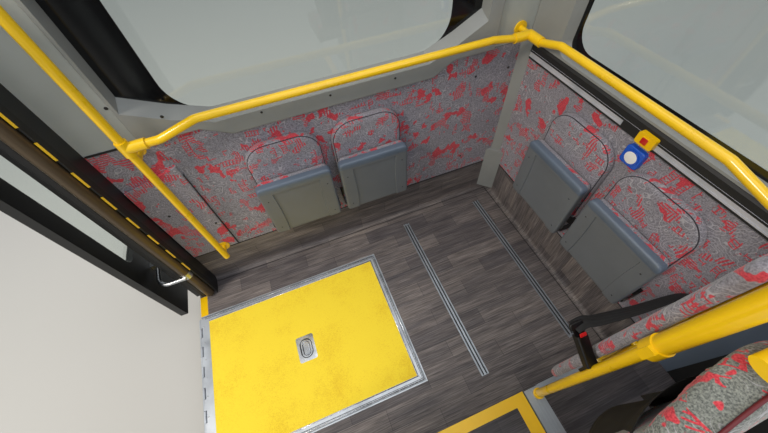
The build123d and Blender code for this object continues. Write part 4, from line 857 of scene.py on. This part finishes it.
class BAY_OT_windows(bpy.types.Operator):
    """Finishes the windows and adds the black enamel border of their glass"""
    bl_idname = "bay.windows"
    bl_label = "Windows"

    def execute(self, context):
        dress("glass", "rear_glass", "side_glass", "door_glass")
        dress("trim", "rear_window_trim", "side_window_trim")
        low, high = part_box("rear_glass")
        left, right = low.x * 1000 + 1, high.x * 1000 - 1
        bottom, top = (low.z - FLOOR) * 1000 + 1, (high.z - FLOOR) * 1000 - 1
        out = rear_out("rear_glass")
        border = sizes().frit * 1000
        # The glass has slanted lower corners in two steps, and its clear middle has round ones
        # that leave a wider border at the sides and a narrow one below
        slant_start, knee_x, knee_y, slant_end = 293, 145, 60, 134
        more_at_sides, below = 128, 44
        outer = sampled([
            (left + slant_start, bottom), (right - slant_start, bottom),
            (right - knee_x, bottom + knee_y), (right, bottom + slant_end), (right, top),
            (left, top), (left, bottom + slant_end), (left + knee_x, bottom + knee_y)], 15)
        clear = rounded(right - left - 2 * (border + more_at_sides),
                        top - bottom - border - below, 60, 29, 150)
        clear = [(x + (left + right) / 2, y + (bottom + below + top - border) / 2)
                 for x, y in clear]
        frit = bmesh.new()
        frame_ring(frit, outer, matched(outer, clear), out, out + 0.6, REAR_MM)
        place_piece(frit, "rear_glass_border", "frit", "bay", False)
        low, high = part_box("side_glass")
        width, height = (high.y - low.y) * 1000, (high.z - low.z) * 1000
        out = side_out("side_glass")
        frit = bmesh.new()
        frame_ring(frit, rounded(width - 4, height - 4, 60),
                   rounded(width - 2 * border, height - 2 * border, 100), out, out + 0.6,
                   shift(SIDE_MM, *side_middle("side_glass")))
        place_piece(frit, "side_glass_border", "frit", "bay", False)
        face = rear_out("rear_window_trim")
        spots = [shift(REAR_MM, x, y, face) for x, y in
                 ((842, 1140), (1158, 1132), (1482, 1129), (1790, 1180), (540, 1178))]
        screws("trim_screws", "black_plastic", "bay", spots,
               sizes().screw * 1000 * 1.4, 2.0, 12, 3)
        return {"FINISHED"}


def sizes():
    return bpy.context.scene.bay_sizes


def sampled(corners, steps):
    """Points along a closed outline, the same number on each of its sides."""
    return [(one[0] + (two[0] - one[0]) * k / steps, one[1] + (two[1] - one[1]) * k / steps)
            for one, two in zip(corners, corners[1:] + corners[:1]) for k in range(steps)]


def matched(outer, inner):
    """Points where rays from the middle through one outline meet another."""
    cx = sum(p[0] for p in inner) / len(inner)
    cy = sum(p[1] for p in inner) / len(inner)
    found = []
    for x, y in outer:
        dx, dy = x - cx, y - cy
        best = 0.0
        for one, two in zip(inner, inner[1:] + inner[:1]):
            ex, ey = two[0] - one[0], two[1] - one[1]
            cross = dx * ey - dy * ex
            if abs(cross) < 1e-9:
                continue
            reach = ((one[0] - cx) * ey - (one[1] - cy) * ex) / cross
            share = ((one[0] - cx) * dy - (one[1] - cy) * dx) / cross
            if -1e-6 <= share <= 1 + 1e-6:
                best = max(best, reach)
        found.append((cx + dx * best, cy + dy * best))
    return found


class BAY_OT_doorway(bpy.types.Operator):
    """Finishes the doorway with its columns, seals, arms and leaves"""
    bl_idname = "bay.doorway"
    bl_label = "Doorway"

    def execute(self, context):
        dress("black", "door_posts", "door_leaves")
        dress("rubber", "door_seals")
        dress("bronze", "door_columns")
        dress("steel", "door_arms")
        # Ten yellow dashes on the face of the rear door seal that looks into the doorway
        seal_depth = 0.036
        x, first, long, pitch = 113.5, 343, 84, 148
        face = plane((0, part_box("door_seals")[1].y - seal_depth, FLOOR), (1, 0, 0), (0, 0, 1),
                     (0, -1, 0)) @ MM
        strips("seal_dashes", "yellow_plastic", "bay", "yellow_plastic", (face, [
            (x, first + pitch * k, x, first + long + pitch * k, 9, 0, 2.2) for k in range(10)]))
        return {"FINISHED"}


class BAY_OT_rails(bpy.types.Operator):
    """Finishes the handrails and adds their screws"""
    bl_idname = "bay.rails"
    bl_label = "Handrails"

    def execute(self, context):
        dress("yellow", "rear_rail", "side_rail", "door_pole", "rail_fittings")
        # Three screws round each flange of the door pole, on a ring about its middle
        flange_half, ring = 34, 26
        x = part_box("door_pole")[0].x * 1000 + flange_half
        spots = [shift(REAR_MM, x + ring * math.cos(math.radians(angle)),
                       height + ring * math.sin(math.radians(angle)), out)
                 for height, out in ((330, 22), (1830, 8)) for angle in (30, 150, 270)]
        screws("flange_screws", "zinc", "bay", spots, 3.4, 1.6, 10, 3)
        return {"FINISHED"}


def shell_surface():
    """Moulded shell of a tip-up seat in local metres: rows of points from low to high, and the
    row where its lip starts. The measures are in millimetres."""
    half, low, high, corner = 199.0, 403.0, 790.0, 24.0
    top, edge, deep, back = 125.0, 11.0, 6.0, 88.0
    flange, head = 72.0, 54.0
    lip_from = high - 40
    near_edge = (0, 1.5, 4, 7.5, 11, 16, 24)
    heights = [low + v for v in near_edge + (60, 100, 140, 180, 220, 260, 300)]
    heights += [high - head + v for v in (-2.4, -0.8, 0.8, 2.4)]
    heights += [lip_from - 1.2, lip_from, lip_from + 1.2]
    heights += [high - v for v in (30,) + near_edge[::-1]]

    def drop(gap):
        """How far the round edge has fallen at a distance from the outline."""
        if gap >= edge:
            return 0.0
        return edge - math.sqrt(max(0.0, edge ** 2 - (edge - gap) ** 2))

    grid = []
    for y in heights:
        near = min(y - low, high - y)
        width = half
        if near < corner:
            width = half - corner + math.sqrt(max(0.0, corner ** 2 - (corner - near) ** 2))
        bow = 6.0 * math.sin(math.pi * min(1.0, max(0.0, (y - low) / (high - head - low))))
        step = half - flange - bow
        columns = [width - v for v in (0, 1.5, 4, 7.5, 11, 18)]
        columns += [step + v for v in (26, 3, 1.2, -1.2, -3)] + [step * 0.6, step * 0.25]
        row = []
        for x in [-x for x in columns] + [0.0] + columns[::-1]:
            z = top - drop(width - abs(x)) - drop(near)
            if abs(x) < step and y < high - head:
                z -= deep
            if y >= lip_from - 0.5:
                z += 1.6 * math.sin(math.pi * min(1.0, (y - lip_from + 0.5) / 34.0))
            row.append((x / 1000, y / 1000, max(z, back + 2) / 1000))
        grid.append(row)
    return grid, max(i for i, y in enumerate(heights) if y <= lip_from)


def skin(mesh, grid, back):
    """Closes a grid of points with sides down to a flat back."""
    rows = [[mesh.verts.new(p) for p in row] for row in grid]
    for one, two in zip(rows, rows[1:]):
        for k in range(len(one) - 1):
            mesh.faces.new((one[k], one[k + 1], two[k + 1], two[k]))
    border = rows[0] + [row[-1] for row in rows[1:]] + rows[-1][-2::-1]
    border += [row[0] for row in reversed(rows[1:-1])]
    low = [mesh.verts.new((v.co.x, v.co.y, back)) for v in border]
    for k in range(len(border)):
        j = (k + 1) % len(border)
        mesh.faces.new((border[k], low[k], low[j], border[j]))
    mesh.faces.new(list(reversed(low)))


class BAY_OT_seats(bpy.types.Operator):
    """Makes the four tip-up seats: padded backs, folded cushions, moulded shells and lips"""
    bl_idname = "bay.seats"
    bl_label = "Tip-up seats"

    def execute(self, context):
        dress("black", "seat_mounts")
        swell = sizes().swell
        low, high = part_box("rear_seat_1_back")
        half = (high.x - low.x) / 2 - swell * SEAT_SWELL
        bottom, top = low.z - FLOOR, high.z - FLOOR - swell * SEAT_SWELL
        # Back: crowned pad, flat on the lining, its front panel sewn to a side band
        outline = [(x, y + (bottom + top) / 2) for x, y in
                   rounded(2 * half, top - bottom, 0.121, 14, 0.012)]
        body = bmesh.new()
        slab(body, outline, 0.001, 0.041, 0.013, steps=4)
        back = plump(body, SEAT_GRID, swell, 0.0005)
        seam = bmesh.new()
        bead(seam, on_surface(back, inset(outline, 0.011)[1:-1], -0.0006), sizes().bead, (0, 0, 1))
        seam = to_data(seam, "seam")
        # Cushion folded up behind the shell: crowned on its seat side, shown above the lip
        low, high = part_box("rear_seat_1_cushion")
        bottom, top = low.z - FLOOR + 0.002, high.z - FLOOR + 0.004
        outline = [(x, y + (bottom + top) / 2) for x, y in
                   rounded(2 * half - 0.004, top - bottom, 0.03, 8, 0.02)]
        deep = LINING_Y - low.y
        pad = bmesh.new()
        rings(pad, [[(x, y, deep - fall) for x, y in inset(outline, move)] for fall, move in
                    ((0.0, 0.0), (0.016, 0.0), (0.026, 0.003), (0.031, 0.010))])
        cushion = plump(pad, SEAT_GRID, swell * SEAT_SWELL)
        for vertex in cushion.vertices:
            vertex.co.z = min(max(vertex.co.z, deep - 0.0345), deep - 0.0005)
        grid, split = shell_surface()
        for name in SEATS:
            matrix = seat_matrix(name)
            pan = name + "_pan"
            place_pad(copy_mesh(back, matrix), name + "_back_pad", "moquette", "bay",
                      name + "_back")
            # Seam bead round the back's front panel: real piping, darkened as painted shade along
            # the seam
            place_piece(copy_mesh(seam, matrix), name + "_back_seam", "dark_piping", "bay")
            place_pad(copy_mesh(cushion, matrix), name + "_cushion_pad", "moquette", pan,
                      name + "_cushion")
            # Shell with the lugs of its hinge, and the lip over its head
            shell = bmesh.new()
            skin(shell, grid[:split + 1], 0.088)
            for x in (-0.1915, 0.1915):
                rings(shell, [[(x - 0.0075, 0.433, z), (x + 0.0075, 0.433, z),
                               (x + 0.0075, 0.477, z), (x - 0.0075, 0.477, z)]
                              for z in (0.066, 0.09)])
            shell.transform(matrix)
            piece = place_piece(shell, name + "_shell_body", "shell", pan)
            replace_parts(piece, name + "_shell")
            sharpen(piece, 38)
            lip = bmesh.new()
            skin(lip, grid[split:], 0.088)
            lip.transform(matrix)
            sharpen(place_piece(lip, name + "_shell_lip", "lip", pan), 50)
            spots = [shift(matrix, x, y, 0.1248) @ MM for x in (-0.163, 0.163)
                     for y in (0.455, 0.69)]
            screws(name + "_shell_screws", "black_plastic", pan, spots, 4, 1.4,
                   12, 3)
        return {"FINISHED"}


class BAY_OT_board(bpy.types.Operator):
    """Makes the stanchion's finish, the padded back board and the lap belt"""
    bl_idname = "bay.board"
    bl_label = "Stanchion, back board and belt"

    def execute(self, context):
        dress("yellow", "stanchion")
        dress("black_plastic", "belt_buckle")
        # Lap strap: flat at the tongue, turned on edge where it goes round the board
        low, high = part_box("belt_strap")
        start = Vector((low.x, low.y, (low.z + high.z) / 2))
        route = smooth_path([start + Vector(step) for step in (
            (-0.006, 0.100, 0.004), (0.036, 0.102, 0.008), (0.086, 0.090, 0.006),
            (0.240, 0.068, 0.002), (0.416, 0.050, 0.0), (0.452, 0.030, 0.0),
            (0.456, 0.0, 0.0))], 7)
        strap = bmesh.new()
        ribbon(strap, route, 0.023, 0.0011, 78, 0)
        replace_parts(place_piece(strap, "belt_strap_web", "webbing", "bay"),
                    "belt_strap")
        # Tongue and release button, on the slope of the buckle's face
        for name, key, off, outline, high, edge in (
                ("belt_tongue", "black_plastic", (0.006, 0.104, 0.002), rounded(52, 26, 8, 5), 9,
                 3),
                ("buckle_button", "red_plastic", (0.006, 0.070, 0.004), rounded(26, 13, 3, 4), 2.0,
                 1.0)):
            mesh = bmesh.new()
            slab(mesh, outline, 0, high, edge,
                 plane(start + Vector(off), (1, 0, 0), (0, 0.8235, 0.5674),
                       (0, -0.5674, 0.8235)) @ MM)
            place_piece(mesh, name, key, "bay")
        # Back board: a roll of foam, flat at the rear, with round long edges
        low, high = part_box("back_board")
        swell = sizes().swell
        outline = rounded(high.x - low.x - 2 * swell, high.z - low.z - 2 * swell, 0.026)
        deep = high.y - low.y - swell * 0.5
        body = bmesh.new()
        rings(body, [[(x, y, deep * part) for x, y in inset(outline, move)] for part, move in
                     ((0.0, 0.012), (0.08, 0.0055), (0.22, 0.0015), (0.42, 0.0), (0.60, 0.0),
                      (0.78, 0.0015), (0.92, 0.0055), (1.0, 0.012))])
        rear = plane(((low.x + high.x) / 2, low.y, (low.z + high.z) / 2), (-1, 0, 0), (0, 0, 1),
                     (0, 1, 0))
        place_pad(copy_mesh(plump(body, 0.006, swell, 0.0), rear), "back_board_pad", "moquette",
                  "bay", "back_board")
        return {"FINISHED"}


class BAY_OT_buttons(bpy.types.Operator):
    """Finishes the two call buttons on the side wall"""
    bl_idname = "bay.buttons"
    bl_label = "Call buttons"

    def execute(self, context):
        dress("blue", "wheelchair_button")
        dress("yellow_plastic", "stop_button")
        for node, part, key, slot, outline, high, edge in (
                ("wheelchair_button", "_disc", "white_plastic", "blue_plastic",
                 rounded(54, 54, 26.9), 0.8, 0.5),
                ("stop_button", "_face", "red_plastic", "yellow_plastic",
                 rounded(27, 27, 4, 4), 1.2, 0.8)):
            mesh = bmesh.new()
            slab(mesh, outline, 0, high, edge,
                 shift(SIDE_MM, *side_middle(node), side_out(node)))
            place_piece(mesh, node + part, key, "bay")
        return {"FINISHED"}


class BAY_OT_first_seat(bpy.types.Operator):
    """Makes the padded first seat on the step with its red welts"""
    bl_idname = "bay.first_seat"
    bl_label = "First seat"

    def execute(self, context):
        dress("black", "first_seat_frame")
        dress("yellow", "first_seat_handle")
        swell = sizes().swell
        low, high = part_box("first_seat_back")
        half, middle = (high.x - low.x) / 2, (low.x + high.x) / 2
        bottom, top = low.z, high.z
        thick = BACK_THICK

        def place(x, z, share, depth):
            """A place on the back: its bow grows with the share of the half width."""
            x, lean = leaning(x, z, top)
            front = high.y - swell * 0.6 - BACK_BOW * share ** 2 - thick
            return middle + x, front + depth * (1 - lean), z

        # Rings across the back from its front face to its rear face
        loops = []
        for depth, move in ((0.0, 0.016), (0.006, 0.006), (0.02, 0.0), (thick - 0.02, 0.0),
                            (thick - 0.006, 0.006), (thick, 0.016)):
            loops.append([place(x, z, x / half, depth) for x, z in
                          back_outline(half - swell - move, bottom + 0.006 + move,
                                       top - swell - move, 24)])
        body = bmesh.new()
        rings(body, loops)
        place_pad(plump(body, FIRST_GRID, swell), "first_seat_back_pad", "first_cloth", "bay",
                  "first_seat_back")
        # Welt 12 mm behind the front face
        line = []
        for x, z in back_outline(half - 0.004, bottom + 0.01, top - 0.004, 40):
            x, y, z = place(x, z, x / half, 0.0)
            line.append((x, y + 0.012, z))
        welt = bmesh.new()
        bead(welt, line, 0.0042, (0, 1, 0))
        place_piece(welt, "first_seat_back_welt", "red_piping", "bay")
        # Moulded shell round the rear of the back, up to the shoulders: its outside, then inside
        levels = []
        for step in range(17):
            z = bottom + 0.004 + (top - 0.25 - bottom) * step / 16
            loop = []
            for grow, order in ((0.0085, 1), (0.0060, -1)):
                side = []
                for k in range(33):
                    across = math.sin(math.pi * (k / 32 - 0.5))
                    deep = 0.045 + (thick + grow - 0.045) * max(0.0, 1 - abs(across) ** 7) ** 0.25
                    side.append(place(across * (half + grow), z, across, deep))
                loop += side[::order]
            levels.append(loop)
        cover = bmesh.new()
        rings(cover, levels)
        place_piece(cover, "first_seat_back_shell", "back_shell", "bay")
        # Cushion with a welt round its top
        low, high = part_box("first_seat_cushion")
        outline = rounded(high.x - low.x - 2 * swell, high.y - low.y - 2 * swell, 0.05)
        cushion = bmesh.new()
        slab(cushion, outline, 0.0, high.z - low.z - 0.006, 0.026, steps=5)
        pad = plump(cushion, FIRST_GRID, swell, 0.0)
        base = Matrix.Translation(((low.x + high.x) / 2, (low.y + high.y) / 2, low.z))
        place_pad(copy_mesh(pad, base), "first_seat_cushion_pad", "first_cloth", "bay",
                  "first_seat_cushion")
        welt = bmesh.new()
        bead(welt, on_surface(pad, inset(outline, 0.018), 0.0), 0.0038, (0, 0, 1))
        welt.transform(base)
        place_piece(welt, "first_seat_cushion_welt", "red_piping", "bay")
        return {"FINISHED"}


def leaning(x, z, top):
    """Narrows the first seat's back towards its foot, and gives the share of its depth that
    leans in."""
    down = min(1.0, max(0.0, (top - z - 0.16) / 0.36))
    return x * (1 - 0.34 * down), 0.74 * min(1.0, max(0.0, (top - z - 0.02) / 0.36))


def back_outline(half, bottom, top, steps):
    """Outline of the first seat's back in x and z: straight sides and an arched top."""
    shoulder = 0.15
    radius = (half ** 2 + shoulder ** 2) / (2 * shoulder)
    start = math.asin(half / radius)
    points = [(-half, bottom), (half, bottom)]
    for k in range(steps + 1):
        angle = start - 2 * start * k / steps
        points.append((radius * math.sin(angle), top - radius + radius * math.cos(angle)))
    return points


class BAY_OT_stage(bpy.types.Operator):
    """Sets up the pale floor, the studio light and the photograph's camera"""
    bl_idname = "bay.stage"
    bl_label = "Studio"

    def execute(self, context):
        scene = context.scene
        scene.view_settings.view_transform = "Standard"
        # Matt painted floor, a little below the object
        ground = bpy.data.meshes.new("studio_floor")
        ground.from_pydata([(x, y, -0.001) for x, y in ((-14, -14), (16, -14), (16, 16),
                                                        (-14, 16))], [], [(0, 1, 2, 3)])
        floor = bpy.data.objects.new("studio_floor", ground)
        scene.collection.objects.link(floor)
        made = bpy.data.materials.new("Studio floor")
        made.use_nodes = True
        made.node_tree.nodes.clear()
        matt = add(made.node_tree, "BsdfDiffuse", {"Color": linear("ground")})
        add(made.node_tree, "OutputMaterial", [matt])
        ground.materials.append(made)
        # The sky lights softly; where it is seen itself it is paler
        world = bpy.data.worlds.new("Studio")
        scene.world = world
        world.use_nodes = True
        tree = world.node_tree
        tree.nodes.clear()
        seen = add(tree, "LightPath").outputs
        either = add(tree, "Math", [seen["Is Camera Ray"], seen["Is Glossy Ray"]],
                     operation="MAXIMUM")
        either = add(tree, "Math", [either, seen["Is Transmission Ray"]], operation="MAXIMUM")
        light = add(tree, "Background", [linear("#EDF1F6"), 0.6])
        shown = add(tree, "Background", [linear("#E4E4E1"), 0.85])
        add(tree, "OutputWorld", [add(tree, "MixShader", [either, light, shown])])
        key = sizes().key
        for name, place, aim, power, size, colour in (
            ("key", (-2.4, -0.2, 4.4), (1.2, 0.9, 0.3), key, 0.9, "#FFF4E6"),
            ("fill", (2.5, -3.5, 4.5), (1.2, 0.8, 0.5), key * 0.45, 3.5, "#EAF1FF"),
            ("top", (1.0, 0.6, 5.5), (1.1, 0.7, 0.2), key * 0.5, 4.0, "#FFFFFF"),
        ):
            lamp = bpy.data.lights.new(name, "AREA")
            lamp.energy = power
            lamp.size = size
            lamp.color = linear(colour)[:3]
            holder = bpy.data.objects.new(name, lamp)
            holder.location = place
            away = Vector(aim) - Vector(place)
            holder.rotation_euler = away.to_track_quat("-Z", "Y").to_euler()
            scene.collection.objects.link(holder)
        # The camera as solved from the straight edges in the photograph
        lens = bpy.data.cameras.new("photo_camera")
        lens.sensor_width = 36
        lens.lens = 15.05
        lens.clip_start = 0.01
        camera = bpy.data.objects.new("photo_camera", lens)
        camera.matrix_world = plane((0.9525, 0.0204, 2.1987), (0.9300, -0.3637, -0.0529),
                                    (0.3251, 0.7469, 0.5800), (-0.1715, -0.5566, 0.8129))
        scene.collection.objects.link(camera)
        scene.camera = camera
        return {"FINISHED"}


class BAY_PT_panel(bpy.types.Panel):
    bl_label = "Minibus wheelchair bay"
    bl_space_type = "VIEW_3D"
    bl_region_type = "UI"
    bl_category = "Bay"

    def draw(self, context):
        for name in BaySizes.__annotations__:
            self.layout.prop(context.scene.bay_sizes, name)
        for name in BayColours.__annotations__:
            self.layout.prop(context.scene.bay_colours, name)
        for kind in operators:
            self.layout.operator(kind.bl_idname)


operators = (BAY_OT_floor, BAY_OT_ramp, BAY_OT_walls, BAY_OT_windows, BAY_OT_doorway,
             BAY_OT_rails, BAY_OT_seats, BAY_OT_board, BAY_OT_buttons, BAY_OT_first_seat,
             BAY_OT_stage)
classes = (BaySizes, BayColours) + operators + (BAY_PT_panel,)


def register():
    for kind in classes:
        bpy.utils.register_class(kind)
    bpy.types.Scene.bay_sizes = PointerProperty(type=BaySizes)
    bpy.types.Scene.bay_colours = PointerProperty(type=BayColours)


def unregister():
    del bpy.types.Scene.bay_sizes
    del bpy.types.Scene.bay_colours
    for kind in reversed(classes):
        bpy.utils.unregister_class(kind)


def main():
    register()
    bpy.ops.bay.floor()
    bpy.ops.bay.ramp()
    bpy.ops.bay.walls()
    bpy.ops.bay.windows()
    bpy.ops.bay.doorway()
    bpy.ops.bay.rails()
    bpy.ops.bay.seats()
    bpy.ops.bay.board()
    bpy.ops.bay.buttons()
    bpy.ops.bay.first_seat()
    bpy.ops.bay.stage()


if __name__ == "__main__":
    main()
